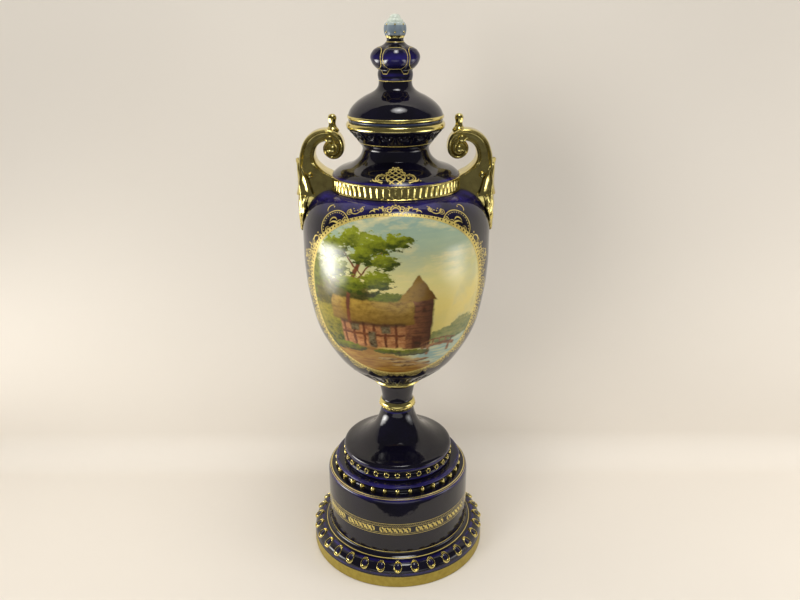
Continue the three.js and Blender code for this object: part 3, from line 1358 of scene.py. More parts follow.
@dataclass(frozen=True)
class Lambrequin:
    """The gilt lattice between two scrolls on the slope of the neck."""

    outline: Outline
    foot: tuple[float, float] = (49.8, 343.0)
    radius: float = 41.8
    middle: float = 9.5
    lattice_step: float = 5.6
    squeeze: float = 1.35

    def mask(self, wall: Wall) -> Shade:
        """The whole ornament, front and back.

        Args:
            wall: Places on the piece.

        Returns:
            The mask.
        """
        across, up = wall.across(self.radius), wall.run - self.outline.run_at(*self.foot)
        side, rise = across * self.squeeze, up - self.middle
        far = (side * side + rise * rise) ** 0.5
        slants = (across + up, across - up)
        bars = [slant.wrapped(self.lattice_step).within(0.6, 0.2) for slant in slants]
        lattice = merged(bars) * far.ramp(-5.0, 47.0)
        border = (far - 9.3).within(0.45, 0.2) * up.above(3.0, 0.6)
        waves = wall.graph.math("COSINE", wall.graph.math("ARCTAN2", rise, side) * 15.0)
        flames = (far - 10.8 - waves * 0.7).within(0.6, 0.2) * up.above(9.0, 1.0)
        scrolls = Sheet(wall.graph, across, up, 0.2).drawn(
            arc=((9.4, 6.8, 4.6, 180, 1.0, 0.45), (9.4, 6.8, 3.0, 180, 0.6, 0.25)),
            dot=((9.0, 6.8, 0.8), (16.6, 3.0, 0.5), (11.2, 12.4, 0.55)),
            sickle=((6.2, 2.4, 3.4, 80, 1.2), (13.4, 5.0, 2.6, 90, 1.3), (12.2, 9.6, 2.0, 220, 1.0)),
        )
        return merged([lattice, border, flames, scrolls]) * up.above(0.9, 0.3)


class Landscape:
    """The painting in the reserve: a calm lakeside of no real place, built up in washes.

    Places on it run from -1 to 1, left to right and from the foot of the oval to its top.
    """

    SKY = (
        (0.0, tint(206, 188, 104)), (0.34, tint(222, 202, 120)), (0.52, tint(214, 204, 134)),
        (0.74, tint(162, 176, 146)), (1.0, tint(116, 145, 138)),
    )
    LEAF_DARK = tint(54, 64, 16)
    LEAF = tint(112, 120, 26)
    LEAF_SUN = tint(140, 148, 32)
    BARK = tint(118, 68, 38)
    OCHRE = tint(168, 128, 52)
    EARTH = tint(128, 84, 34)
    WATER = tint(136, 164, 154)
    THATCH = tint(156, 122, 46)
    TIMBER = tint(94, 54, 36)
    PLASTER = tint(198, 142, 88)
    SHADOW = tint(62, 44, 28)

    def __init__(self, graph: Graph, right: Shade, up: Shade) -> None:
        """Loosens the edges, as a soft brush does, and keeps the places.

        Args:
            graph: The material's graph.
            right: The place across.
            up: The place upwards.
        """
        self.graph = graph
        self.right = right + (self._brush(right, up, 9.0, 1.0) - 0.5) * 0.05
        self.up = up + (self._brush(up, right, 11.0, 1.0) - 0.5) * 0.05
        self.dabs = self._brush(right, up, 13.0, 1.5, 5.0)
        self.streaks = self._brush(right, up, 4.0, 5.0, 5.0)
        self.colour = self._sky()

    def _brush(self, right: Shade, up: Shade, scale: float, flat: float, detail: float = 3.0) -> Shade:
        """Brush marks as noise, flattened by a factor."""
        place = self.graph.node("ShaderNodeCombineXYZ", {}, {0: right, 1: up * flat, 2: scale})
        return self.graph.noise(scale, detail, 0.62, place)

    def painted(self) -> Shade:
        """Paints over the sky, from the far shore to the near bank.

        Returns:
            The whole picture's colour.
        """
        for stage in (
            self._far_shore, self._water, self._ground, self._bushes, self._tower, self._barn,
            self._bridge, self._tree, self._near_bank,
        ):
            stage()
        return self.colour

    def _sky(self) -> Shade:
        """Warm at the horizon, blue-green above, with a few clouds.

        Returns:
            Its colour.
        """
        graph = self.graph
        sky = graph.ramp((self.up + self.streaks * 0.24).ramp(0.6, 0.28), self.SKY)
        cloud = self._brush(self.right, self.up, 1.9, 2.6, 4.0).ramp(5.0, -2.5) * self.up.ramp(2.0, 0.1)
        sky = graph.mix(cloud * 0.8, sky, tint(236, 214, 148))
        blue = self._brush(self.up, self.right, 1.6, 1.4).ramp(4.0, -2.0) * self.right.ramp(1.4, 0.0)
        return graph.mix(blue * 0.5, sky, tint(122, 156, 162))

    def _mound(self, x: float, y: float, wide: float, high: float, rough: float = 0.6) -> Shade:
        """A soft round mass of leaves or earth about a place."""
        across, up = (self.right - x) * (1 / wide), (self.up - y) * (1 / high)
        return (across * across + up * up + (self.dabs - 0.5) * (rough * 3.0)).ramp(-3.0, 3.2)

    def _slab(self, left: float, right: float, low: float, high: float, soft: float = 0.025) -> Shade:
        """An upright rectangle with soft edges."""
        across = (self.right - (left + right) / 2).within((right - left) / 2, soft)
        return across * (self.up - (low + high) / 2).within((high - low) / 2, soft)

    def _slabs(self, *slabs: tuple[float, float, float, float]) -> Shade:
        """Several upright rectangles as one."""
        return merged([self._slab(*slab) for slab in slabs])

    def _below(self, slope: float, level: float, soft: float = 0.025) -> Shade:
        """1 under a sloping line."""
        return (self.right * slope + level - self.up).above(0.0, soft)

    def _cover(self, mask: Shade, colour: Colour | Shade) -> None:
        """Lays one colour over the picture."""
        self.colour = self.graph.mix(mask, self.colour, colour)

    def _lay(self, mask: Shade, dark: Colour, light: Colour, share: Shade | None = None) -> None:
        """Lays two mingled colours over the picture; share, or the dabs, is the second's part."""
        self._cover(mask, self.graph.mix(share or self.dabs.ramp(4.0, -1.5), dark, light))

    def _leaves(self, clumps: Sequence[tuple[float, ...]], dark: Colour, light: Colour) -> None:
        """Paints clumps of leaves, each lit from the upper left.

        Args:
            clumps: Each one's place across and up, half its width and height, and its roughness.
            dark: Its colour in the shade.
            light: Its colour in the light.
        """
        for x, y, wide, high, rough in clumps:
            lit = (self.up - y) * (0.5 / high) - (self.right - x) * (0.2 / wide)
            share = (lit + self.dabs * 2.4 - 1.2).ramp(1.0, 0.45)
            self._lay(self._mound(x, y, wide, high, rough), dark, light, share)

    def _far_shore(self) -> None:
        """Blue-green trees beyond the water."""
        clumps = (
            (0.56, -0.42, 0.2, 0.1, 0.8), (0.8, -0.36, 0.22, 0.13, 0.8), (0.66, -0.47, 0.3, 0.07, 0.5),
        )
        self._leaves(clumps, tint(84, 102, 60), tint(146, 144, 84))

    def _water(self) -> None:
        """Still water at the right, with the sky in it."""
        water = self._below(0.16, -0.62) * self.right.above(0.14, 0.2)
        self._lay(water, self.WATER, tint(196, 196, 156), self.streaks.ramp(4.0, -1.6))

    def _ground(self) -> None:
        """The warm track along the foot of the picture."""
        land = self._below(-0.5, -0.64, 0.08)
        self._lay(land, self.EARTH, self.OCHRE, self.streaks.ramp(4.0, -1.5))

    def _bushes(self) -> None:
        """The green bank at the left and behind the roofs, dark at its foot."""
        behind = ((-0.3, 0.0, 0.34, 0.2, 0.9), (-0.05, 0.04, 0.22, 0.14, 0.9), (-0.86, 0.1, 0.2, 0.4, 0.7))
        self._leaves(behind, self.LEAF_DARK, self.LEAF)
        hollow = ((-0.5, 0.14, 0.3, 0.2, 0.8), (-0.72, -0.04, 0.26, 0.26, 0.7))
        self._leaves(hollow, tint(50, 50, 20), tint(104, 96, 36))
        self._leaves(((-0.8, -0.38, 0.3, 0.32, 0.7),), self.LEAF_DARK, tint(150, 136, 38))

    def _tower(self) -> None:
        """A round dovecote with a pointed roof."""
        light = (0.26 - self.right).ramp(3.4, 0.42)
        body, lit = self._slab(0.06, 0.38, -0.56, 0.1), light * self.dabs.ramp(3.0, -0.7)
        self._lay(body, tint(70, 44, 32), tint(148, 96, 60), lit)
        courses = self.up.wrapped(0.07).within(0.007, 0.01) * body
        self._cover(courses * 0.5, self.SHADOW)
        roof = self._below(1.5, 0.03) * self._below(-1.5, 0.69) * self.up.above(0.06, 0.02)
        self._lay(roof, tint(92, 62, 28), self.THATCH, light * self.dabs.ramp(3.0, -0.5))
        holes = self._slabs((0.15, 0.19, -0.08, 0.0), (0.26, 0.3, -0.08, 0.0), (0.17, 0.27, -0.56, -0.38))
        self._lay(holes, self.SHADOW, self.TIMBER)

    def _barn(self) -> None:
        """A long low barn with a thatched roof and timber posts."""
        wall = self._slab(-0.62, 0.1, -0.54, -0.2)
        frame = self.right.wrapped(0.115).within(0.015, 0.014).most((self.up + 0.37).within(0.014, 0.014))
        shade = (self.up + 0.2).ramp(3.2, 0.9) * 0.5
        self._lay(wall, self.PLASTER, tint(146, 92, 58))
        self._lay(wall * frame, self.TIMBER, self.BARK)
        self._cover(wall * shade, self.TIMBER)
        holes = self._slabs(
            (-0.5, -0.4, -0.34, -0.24), (-0.16, -0.06, -0.34, -0.24), (-0.3, -0.22, -0.54, -0.33)
        )
        self._lay(holes, self.SHADOW, tint(120, 108, 78))
        roof = self._slab(-0.72, 0.18, -0.24, 0.06) * self._below(1.5, 1.08) * self._below(-1.6, 0.32)
        roof = roof * (self.up - self.streaks * 0.07 + 0.26).above(0.0, 0.02)
        light = self.up.ramp(2.4, 0.72) * self.dabs.ramp(2.6, -0.6)
        self._lay(roof, tint(104, 74, 28), tint(186, 152, 66), light)
        self._cover((self.up + 0.235).within(0.02, 0.03) * wall * 0.8, self.SHADOW)

    def _bridge(self) -> None:
        """A small arched footbridge over the water."""
        across = self.right - 0.5
        deck = self.up + across * across * 0.9 + 0.53
        stone = deck.within(0.024, 0.014).most((deck - 0.075).within(0.009, 0.012))
        posts = across.wrapped(0.08).within(0.008, 0.01) * (deck - 0.04).within(0.04, 0.01)
        piers = self._slabs((0.34, 0.38, -0.68, -0.55), (0.62, 0.66, -0.68, -0.55))
        whole = (stone.most(posts) * across.within(0.22, 0.02)).most(piers)
        self._lay(whole, tint(84, 50, 32), tint(158, 112, 68))

    def _tree(self) -> None:
        """A tall tree at the left, its crown open against the sky."""
        bend = self.right + 0.5 - (self.up * self.up) * 0.4 - self.up * 0.1
        trunk = bend.within(0.022, 0.014) * (self.up - 0.2).within(0.44, 0.05)
        bough = (self.right + self.up * 0.8 + 0.06).within(0.012, 0.012) * self._slab(-0.56, -0.2, 0.24, 0.6)
        twig = (self.right - self.up * 0.8 + 0.62).within(0.012, 0.012) * self._slab(-0.46, -0.06, 0.26, 0.66)
        self._lay(trunk.most(bough).most(twig), self.TIMBER, self.BARK)
        crowns = (
            (-0.42, 0.74, 0.17, 0.12, 1.5), (-0.2, 0.68, 0.2, 0.13, 1.5), (0.0, 0.72, 0.18, 0.09, 1.6),
            (-0.64, 0.62, 0.16, 0.13, 1.5), (-0.12, 0.5, 0.15, 0.1, 1.6), (-0.62, 0.38, 0.17, 0.14, 1.5),
            (-0.18, 0.28, 0.16, 0.12, 1.5), (-0.46, 0.22, 0.17, 0.11, 1.5), (-0.34, 0.56, 0.13, 0.1, 1.6),
        )
        self._leaves(crowns, self.LEAF_DARK, self.LEAF_SUN)

    def _near_bank(self) -> None:
        """Stones, reeds and grass along the near edge."""
        grass = (
            (0.16, -0.62, 0.24, 0.05, 1.0), (-0.56, -0.58, 0.22, 0.06, 1.0), (-0.1, -0.6, 0.16, 0.04, 1.0),
        )
        self._leaves(grass, tint(66, 62, 30), self.LEAF)
        stones = (
            (-0.1, -0.72, 0.13, 0.025, 0.5), (0.06, -0.77, 0.15, 0.025, 0.5), (0.26, -0.75, 0.16, 0.03, 0.5),
            (0.12, -0.84, 0.18, 0.03, 0.5), (0.36, -0.83, 0.1, 0.025, 0.5),
        )
        self._leaves(stones, tint(94, 62, 34), tint(186, 154, 92))


# ---------------- urn: body


@dataclass
class Vessel:
    """The urn's foot, knop, stem, painted body, collar and neck, with their low relief."""

    steps: int = 256
    fine_steps: int = 512
    foot_bead_height: float = 92.0
    reeds: int = 64
    leaves: int = 16

    def __post_init__(self) -> None:
        """Draws the outline, from inside the foot round to the bottom inside the body."""
        self.outline = Outline([
            Knot(0, 114), Knot(19, 106, 4), Knot(32, 97.4, 3), Knot(42.5, 94.6, 1),
            Knot(42.5, URN_BASE, 0.6), Knot(47.4, URN_BASE, 0.4),
            *curve([
                (47.9, 87.4), (47.9, 88.6), (47.3, 89.6), (47.2, 92), (47.3, 94.4), (47.9, 95.4), (48, 96.6),
            ], 18),
            *curve([(48.1, 97.2), (47.7, 99.3), (45.8, 101.2), (40, 103.2), (34.5, 105.6), (28, 109.6)], 20),
            *curve([(24.6, 112.6), (21.6, 115.8), (19, 119.8), (16.6, 125), (15, 130), (14.3, 134.8)], 16),
            *curve([
                (14.6, 135.8), (15.4, 137.4), (15.6, 139), (15.3, 140.8), (14.4, 142), (13.7, 142.8),
            ], 12),
            *curve([(13.3, 143.8), (13.4, 146.4), (14.2, 151), (15.2, 156), (16.1, 159.4)], 12),
            *curve([
                (17, 160.3), (19.2, 161), (20.7, 162.3), (20.9, 163.3), (20.6, 164.3), (20.6, 164.8),
            ], 12),
            *curve([
                (22.6, 166), (37, 177), (50, 189), (65.4, 216), (72.5, 246), (75, 270), (BODY_RADIUS, 285),
            ], 48),
            Knot(BODY_RADIUS, SHOULDER_START), *shoulder(32),
            Knot(49.4, 331.6, 0.4), Knot(49.2, 341, 0.3), Knot(50.9, 341.6, 0.5),
            *curve([(49.8, 343), (45, 346.6), (35, 350.4), (28.6, 355.6), (26.2, 360.6), (26.1, 363)], 24),
            *curve([(26.8, 364.6), (29.4, 368), (32.2, 372.8), (35.4, 376), (36.8, 376.8)], 14),
            *curve([(37.9, 377.8), (38.4, 379.4), (38.3, 381), (37.4, 382.3), (36.2, MOUTH_TOP)], 8),
            Knot(32.6, MOUTH_TOP, 0.6), Knot(32.6, 379, 1), Knot(28, 372.6, 2), Knot(21.8, 360, 4),
            Knot(29, 347.6, 4), Knot(44.5, 339, 2), Knot(46, 327, 2), Knot(64, 318, 5),
            Knot(70.8, 299, 4), Knot(70.8, 280, 5), Knot(68, 247, 5), Knot(60.6, 217, 6),
            Knot(44.5, 191, 6), Knot(24, 174, 5), Knot(0, 174),
        ])

    def build(self) -> None:
        """Builds and dresses every piece of the vessel."""
        gold = Gilding("urn_gold").material()
        relief = PlainGlaze("urn_relief_blue", COBALT_DEEP, COBALT).material()
        body = smooth_off(spun("urn_body", self.outline, self.steps))
        dress(body, Slot.URN, self._glaze().material(), node="urn")
        dress(self._collar(), Slot.URN, gold)
        dress(self._neck_band(), Slot.URN, relief)
        dress(self._calyx(), Slot.URN, relief)
        dress(self._foot_beads(), Slot.URN, gold, relief)
        dress(self._knop_dots(), Slot.URN, gold)

    def _glaze(self) -> Glaze:
        """Cobalt with gilt rings and lines; the reserve and its gilding lie on the body.

        Returns:
            The finish.
        """
        return Glaze(
            "urn_cobalt",
            self.outline,
            gold=(
                Band((14.5, 135.6), (13.8, 142.6)), Band((16.6, 160.0), (20.6, 164.9)),
                Band((38.3, 378.9), (36.0, MOUTH_TOP)),
            ),
            lines=((28.9, 367.4, 0.32),),
            thin=(
                (48, 97.4, 2.0), (47.6, 88.0, 2.4), (14.3, 134.0, 1.6), (62.0, 321.0, 34.0),
                (57.0, 326.6, 22.0), (50.2, 342.8, 3.0),
            ),
            pale=((Band((35.8, MOUTH_TOP), (0, 174)), PORCELAIN), (Band((0, 114), (42.5, 94.6)), PORCELAIN)),
            bare=(Band((42.5, 94), (47.5, URN_BASE)),),
            ornament=self._gilding,
            picture=self._picture,
        )

    def _outside(self, wall: Wall) -> Shade:
        """1 on the body's outer side, between the ring and the collar."""
        return Band((22.6, 166), (COLLAR_RADIUS, COLLAR_BOTTOM)).mask(wall, self.outline, 0.5)

    def _gilding(self, wall: Wall) -> Shade:
        """The frame, lace and scrolls on the body, and the lattice on the neck.

        Args:
            wall: Places on the piece.

        Returns:
            The mask.
        """
        reserve = Reserve(self.outline)
        body = reserve.edging(wall).most(Scrollwork(reserve).mask(wall)) * self._outside(wall)
        neck = Band((49.8, 343), (27, 360)).mask(wall, self.outline, 0.5)
        return body.most(Lambrequin(self.outline).mask(wall) * neck)

    def _picture(self, wall: Wall) -> tuple[Shade, Shade]:
        """The painted lakeside, and where it shows.

        Args:
            wall: Places on the piece.

        Returns:
            Its colour and its mask.
        """
        reserve = Reserve(self.outline)
        right = wall.turn * (BODY_RADIUS / reserve.half_width)
        scene = Landscape(wall.graph, right, reserve.up(wall) * (1 / reserve.half_height))
        shown = reserve.out(wall).ramp(-4.0, 0.5) * reserve.front(wall) * self._outside(wall)
        return scene.painted(), shown

    def _collar(self) -> Piece:
        """A gilt ring of upright reeds between two beads.

        Returns:
            The collar.
        """
        outline = Outline([
            Knot(48.2, 331.2),
            *curve([(50.4, 331.0), (51.3, 331.2), (51.5, 331.7), (51.2, 332.2), (50.8, 332.4)], 8),
            Knot(50.95, 332.8), Knot(51.05, 333.2), Knot(51.1, 336.4), Knot(51.05, 339.6), Knot(50.95, 340.2),
            *curve([(50.7, 340.5), (51.1, 340.8), (51.2, 341.3), (50.9, 341.9), (50, 342)], 8),
            Knot(48.2, 341.8), Knot(48.2, 331.2),
        ])
        collar = spun("urn_collar", outline, self.fine_steps)
        first, last = outline.run_at(50.9, 332.6), outline.run_at(50.9, 340.4)

        def reeded(turns: np.ndarray, runs: np.ndarray) -> np.ndarray:
            """The reeds, cut between the two beads.

            Args:
                turns: Each vertex's turn.
                runs: Its length along the outline.

            Returns:
                Its move outwards, in mm.
            """
            across = np.abs(((turns * self.reeds / FULL_TURN) % 1.0) - 0.5) * 2
            kept = np.clip(np.minimum(runs - first, last - runs) / 0.5, 0, 1)
            return -0.85 * across**2 * np.sqrt(kept)

        swell(collar, reeded)
        return smooth_off(collar, 60)

    def _neck_band(self) -> Piece:
        """Crescents with darts between them, in low relief under the mouth.

        Returns:
            The band.
        """
        outline = Outline([
            Knot(28.2, 368.4),
            *curve([(29.6, 367.8), (32.4, 372.6), (35.5, 375.8), (37.9, 377.6)], 44),
            Knot(36.6, 378.4), Knot(28.2, 368.4),
        ])
        band = spun("urn_neck_band", outline, self.fine_steps)
        low = outline.run_at(29.6, 367.8)

        def raised(turns: np.ndarray, runs: np.ndarray) -> np.ndarray:
            """The crescents with their cores, and the darts.

            Args:
                turns: Each vertex's turn.
                runs: Its length along the outline.

            Returns:
                Its move outwards, in mm.
            """
            radius = 33.2
            cell = FULL_TURN / self.leaves
            across = ((turns % cell) / cell - 0.5) * cell * radius
            up = runs - low - 6.4
            ring = np.hypot(across * 0.86, up - 1.0)
            width = 1.0 + 0.5 * np.clip(-(up - 1.0) / 3.0, -0.6, 1)
            crescent = np.clip(1 - ((ring - 3.0) / width) ** 2, 0, 1) * (up < 3.4)
            core = np.clip(1 - (np.hypot(across, up - 1.4) / 1.1) ** 2, 0, 1)
            beside = np.abs(np.abs(across) - cell * radius / 2)
            dart = np.clip(1 - (beside / (0.35 + 0.13 * np.clip(up + 5.5, 0, 9))) ** 2, 0, 1)
            dart = dart * (np.abs(up - 0.6) < 5.2)
            return 0.85 * np.maximum.reduce([crescent, core, dart]) - 0.15

        swell(band, raised)
        return smooth_off(band, 70)

    def _calyx(self) -> Piece:
        """Upright acanthus leaves in low relief on the bottom of the body.

        Returns:
            The calyx.
        """
        wall = curve([(20.6, 164.6), (22.6, 165.8), (30.4, 171.6), (37.2, 177.1), (43.4, 182.4)], 52)
        outline = Outline([Knot(19.0, 166.6), *wall, Knot(41.2, 183.4), Knot(19.0, 166.6)])
        calyx = spun("urn_calyx", outline, self.fine_steps)
        low, high = outline.run_at(20.6, 164.6), outline.run_at(43.4, 182.4)

        def leafy(turns: np.ndarray, runs: np.ndarray) -> np.ndarray:
            """The leaves with their ribs and veins.

            Args:
                turns: Each vertex's turn.
                runs: Its length along the outline.

            Returns:
                Its move outwards, in mm.
            """
            cell = FULL_TURN / self.leaves
            across = np.abs((turns % cell) / cell - 0.5) * 2
            along = (runs - low) / (high - low)
            lobes = 0.80 + 0.12 * np.cos(along * 5 * math.pi)
            tip = np.sqrt(np.clip(1 - (along / 0.97) ** 5, 0, 1))
            edge = lobes * tip
            leaf = np.clip((edge - across) * 9, 0, 1)
            veins = 0.28 * np.cos((along * 9 - across * 2.6) * math.pi) * np.clip(across * 3, 0, 1)
            rib = 0.5 * np.clip(1 - across * 7, 0, 1)
            return -0.75 + leaf * (1.35 + veins + rib)

        swell(calyx, leafy)
        return smooth_off(calyx, 70)

    def _foot_beads(self) -> Piece:
        """Ring-shaped gilt beads with dark centres round the foot.

        Returns:
            The ring of beads.
        """
        outline = Outline([
            Knot(0, 0.35), Knot(1.0, 0.3),
            *curve([(1.25, 0.6), (1.6, 1.15), (2.05, 1.15), (2.45, 0.4)], 6), Knot(2.5, -0.8), Knot(0, -0.8),
        ])
        height, eye = self.foot_bead_height, (47.7, self.foot_bead_height, 1.25)
        return Boss("urn_foot_beads", outline, 18, 47.2, height, 2.0, stretch=1.12, eye=eye).ring()

    def _knop_dots(self) -> Piece:
        """Small beads round the lower half of the knop.

        Returns:
            The ring of beads.
        """
        outline = Outline([*curve([(0, 0.7), (0.5, 0.6), (0.85, 0.2), (0.95, -0.4)], 5), Knot(0, -0.4)])
        return Boss("urn_knop_dots", outline, 10, 15.4, 137.6, -20.0, 30, sharp_angle=70).ring()


# ---------------- urn: handles


@dataclass
class Handle:
    """A scrolled handle: a channelled bar, its volute, a leaf on its back and a bud.

    A row of the course is the bar's middle (x, z), half its thickness and depth, and how far the
    way out through its thickness turns up from level, in degrees. A row of a leaf is a height,
    the x of its edge on the bar's faces, the x of its back and half its depth.
    """

    stations: int = 150
    rim_thickness: float = 6.2
    rim_inset: float = 1.5
    rim_radius: float = 0.62
    rim_sides: int = 8
    channel_share: float = 0.3
    face_share: float = 0.6
    face_depth: float = 0.82
    bud_x: float = 49.0
    leaf_thickness: float = 1.8
    course: tuple[tuple[float, float, float, float, float], ...] = (
        (75.6, 297, 0.8, 2, 8), (73.9, 307, 2.6, 8, 10), (70.6, 317, 5.4, 11.6, 14),
        (66.3, 325.2, 10, 12.6, 18), (61.8, 330.6, 14.7, 12.6, 13), (61.4, 334.8, 14.9, 12.5, 5),
        (61.6, 339, 14.6, 12.2, -4), (63.4, 341.6, 12.6, 12, -6), (65.2, 343.8, 10.6, 11.7, -6),
        (66.9, 346.4, 8.9, 11.2, -7), (68.4, 349.8, 7.3, 10.7, -7), (69.1, 353.6, 6.3, 9.8, -4),
        (68.8, 359, 5.6, 8.8, 11), (66.2, 366, 5.3, 8, 33), (61.4, 370.6, 4.9, 7.7, 59),
        (55.4, 372.6, 4.6, 7.6, 83), (49.6, 372, 4.4, 7.5, 109), (45.6, 369.2, 4, 7.5, 140),
        (43.6, 364.8, 3.6, 7.5, 169), (43.9, 360.2, 3.3, 7.5, 202), (46.6, 357.4, 3, 7.4, 245),
        (50.2, 357.3, 2.7, 7.3, 289), (52.9, 359.6, 2.5, 7.2, 332), (53.2, 363, 2.2, 7.1, 378),
        (51, 365.6, 1.9, 7, 429), (48.2, 364.9, 1.6, 7, 464),
    )
    lower_leaf: tuple[tuple[float, float, float, float], ...] = (
        (296.5, 75.3, 76.1, 1.2), (300, 74.2, 76.5, 4.5), (304.5, 72.9, 76.7, 8), (310, 71.3, 76.8, 10.8),
        (315, 69.9, 76.8, 12.3), (321, 67.7, 76.9, 13.2), (327, 65.4, 76.7, 13.2), (331, 64.4, 76.0, 12.4),
    )
    upper_leaf: tuple[tuple[float, float, float, float], ...] = (
        (327.0, 60.6, 77.9, 14.8), (329, 61.2, 77.3, 14.2), (333, 63, 76.8, 13.8), (338, 65.4, 76.5, 13.3),
        (343, 68, 76.3, 12.6), (347.5, 70.4, 76.6, 10.8), (350.5, 72.4, 77.0, 8.2), (352.6, 74.2, 77.4, 4.8),
        (353.4, 75.8, 77.4, 1.2),
    )

    def build(self) -> None:
        """Builds the right handle, mirrors it and dresses both."""
        gold = Gilding("handle_gold").material()
        bright = Gilding("leaf_gold", roughness=0.09, hammer=0.2).material()
        bar = joined("handle_right_bar", [self._bar(), *self._rims()])
        parts = ((smooth_off(bar, 50), gold), (self._volute(), gold), (self._leaf(), bright),
                 (self._bud(), gold))
        for part, material in parts:
            left = mirrored(part, part.name.replace("right", "left"))
            dress(part, Slot.URN, material)
            dress(left, Slot.URN, material)

    def _frames(self) -> np.ndarray:
        """Rows of middle x and z, outward x and z, half thickness and half depth.

        Returns:
            One row for each station.
        """
        rows = spline(self.course, self.stations)
        lean = np.radians(rows[:, 4])
        return np.column_stack([rows[:, :2], np.cos(lean), np.sin(lean), rows[:, 2:4]])

    def _section(self) -> np.ndarray:
        """The bar's section: across and depth, as shares, all the way round.

        Returns:
            One row for each corner.
        """
        quarter = spline([
            (0, 0.79), (0.3, 0.73), (0.54, 0.83), (0.66, 0.95), (0.78, 1.0), (0.9, 0.96), (0.99, 0.82),
            (1.03, 0.5), (1.04, 0),
        ], 12)
        right = np.concatenate([quarter[::-1], quarter[1:] * (-1, 1)])
        left = right[1:-1] * (1, -1)
        return np.concatenate([right, left[::-1]])

    def _rod(self, name: str, sides: int) -> tuple[Piece, np.ndarray, np.ndarray]:
        """A straight rod with a ring of corners for each station of the course.

        Args:
            name: Its name.
            sides: How many corners a ring has.

        Returns:
            The rod, and for each of its points the course's row and the number of its corner.
        """
        put_down()
        bpy.ops.mesh.primitive_circle_add(vertices=sides, radius=MM, fill_type="NGON")
        rod = named(name)
        bpy.ops.object.mode_set(mode="EDIT")
        bpy.ops.mesh.select_all(action="SELECT")
        for _ in range(self.stations):
            bpy.ops.mesh.extrude_region_move(TRANSFORM_OT_translate={"value": (0, 0, MM)})
        put_down()
        places = places_of(rod)
        station = np.rint(places[:, 2]).astype(int)
        corner = np.rint(np.arctan2(places[:, 1], places[:, 0]) / FULL_TURN * sides).astype(int)
        return rod, self._frames()[station], corner % sides

    def _rims(self) -> list[Piece]:
        """Fine raised lines along both edges of both of the bar's faces.

        Returns:
            The four rims.
        """
        rims = []
        for edge, face in ((-1, -1), (-1, 1), (1, -1), (1, 1)):
            rim, frame, corner = self._rod(f"rim_{edge}_{face}", self.rim_sides)
            turn = corner * (FULL_TURN / self.rim_sides)
            out = edge * np.maximum(frame[:, 4] - self.rim_inset, 0.2) + self.rim_radius * np.cos(turn)
            deep = face * (frame[:, 5] - 0.1) + self.rim_radius * np.sin(turn)
            places = [frame[:, 0] + out * frame[:, 2], deep, frame[:, 1] + out * frame[:, 3]]
            move_to(rim, np.column_stack(places))
            close_up(rim)
            rims.append(rim)
        return rims

    def _bar(self) -> Piece:
        """The bar, from the shoulder up, over and round into the volute.

        Returns:
            The bar.
        """
        section = self._section()
        bar, frame, corner = self._rod("bar", len(section))
        share = section[corner]
        size, thick = np.abs(share[:, 0]), frame[:, 4]
        rim = np.minimum(thick, self.rim_thickness)
        near_rim = thick - (1 - size) * rim
        middle = size / self.channel_share * (thick - (1 - self.channel_share) * rim)
        out = np.sign(share[:, 0]) * np.where(size > self.channel_share, near_rim, middle)
        flat = np.clip((thick - self.rim_thickness) / 4, 0, 1) * (size < self.face_share)
        deep = np.abs(share[:, 1]) + flat * (self.face_depth - np.abs(share[:, 1]))
        places = np.column_stack([
            frame[:, 0] + out * frame[:, 2],
            np.sign(share[:, 1]) * deep * frame[:, 5],
            frame[:, 1] + out * frame[:, 3],
        ])
        move_to(bar, places)
        close_up(bar)
        return bar

    def _stud(self, name: str, radius: float, reach: float, x: float, z: float) -> Piece:
        """A round stud through the bar, domed on both faces.

        Args:
            name: Its name.
            radius: Its radius, in mm.
            reach: How far its domes reach from the middle of the bar's depth.
            x: Its middle.
            z: Its height.

        Returns:
            The stud.
        """
        dome = [(0, reach), (0.5, reach - 0.12), (0.8, reach - 0.3), (1.0, reach - 0.62)]
        face = [(share * radius, reach - (reach - up) * radius) for share, up in dome]
        outline = Outline([*curve(face, 10), *curve([(r, -up) for r, up in reversed(face)], 10)])
        stud = spun(name, outline, 28)
        places = places_of(stud)
        move_to(stud, np.column_stack([places[:, 0] + x, places[:, 2], places[:, 1] + z]))
        close_up(stud)
        return stud

    def _volute(self) -> Piece:
        """The web and eye inside the curl, and the knobs on the bar's faces.

        Returns:
            The web, the eye and the knobs in one mesh.
        """
        studs = [
            self._stud("web", 7.3, 6.4, 49.6, 361.4), self._stud("eye", 3.1, 9.0, 49.2, 361.8),
            self._stud("nub", 3.3, 9.2, 51.2, 369.6), self._stud("knob", 2.4, 13.4, 67.2, 342.4),
        ]
        return smooth_off(joined("handle_right_volute", studs), 50)

    def _bud(self) -> Piece:
        """The small bud that stands on top of the curl.

        Returns:
            The bud.
        """
        outline = Outline([
            Knot(0, 373.4), Knot(4.8, 374.2, 0.8),
            *curve([(5.3, 375.6), (4.7, 377), (3.4, 378.6), (2.8, 380.8), (3.0, 382.8), (3.5, 384.8)], 16),
            *curve([(3.1, 386.6), (1.9, 387.8), (0, 388.2)], 6),
        ])
        bud = spun("handle_right_bud", outline, 36)
        low = outline.run_at(5.3, 375.6)

        def petals(turns: np.ndarray, runs: np.ndarray) -> np.ndarray:
            """The seams between the petals.

            Args:
                turns: Each vertex's turn.
                runs: Its length along the outline.

            Returns:
                Its move outwards, in mm.
            """
            along = np.clip((runs - low) / 12.0, 0, 1)
            return -0.5 * np.sin(along * math.pi) * (1 - np.abs(np.cos(turns * 2.5)))

        swell(bud, petals)
        places = places_of(bud)
        places[:, 0] += self.bud_x
        move_to(bud, places)
        return smooth_off(bud, 50)

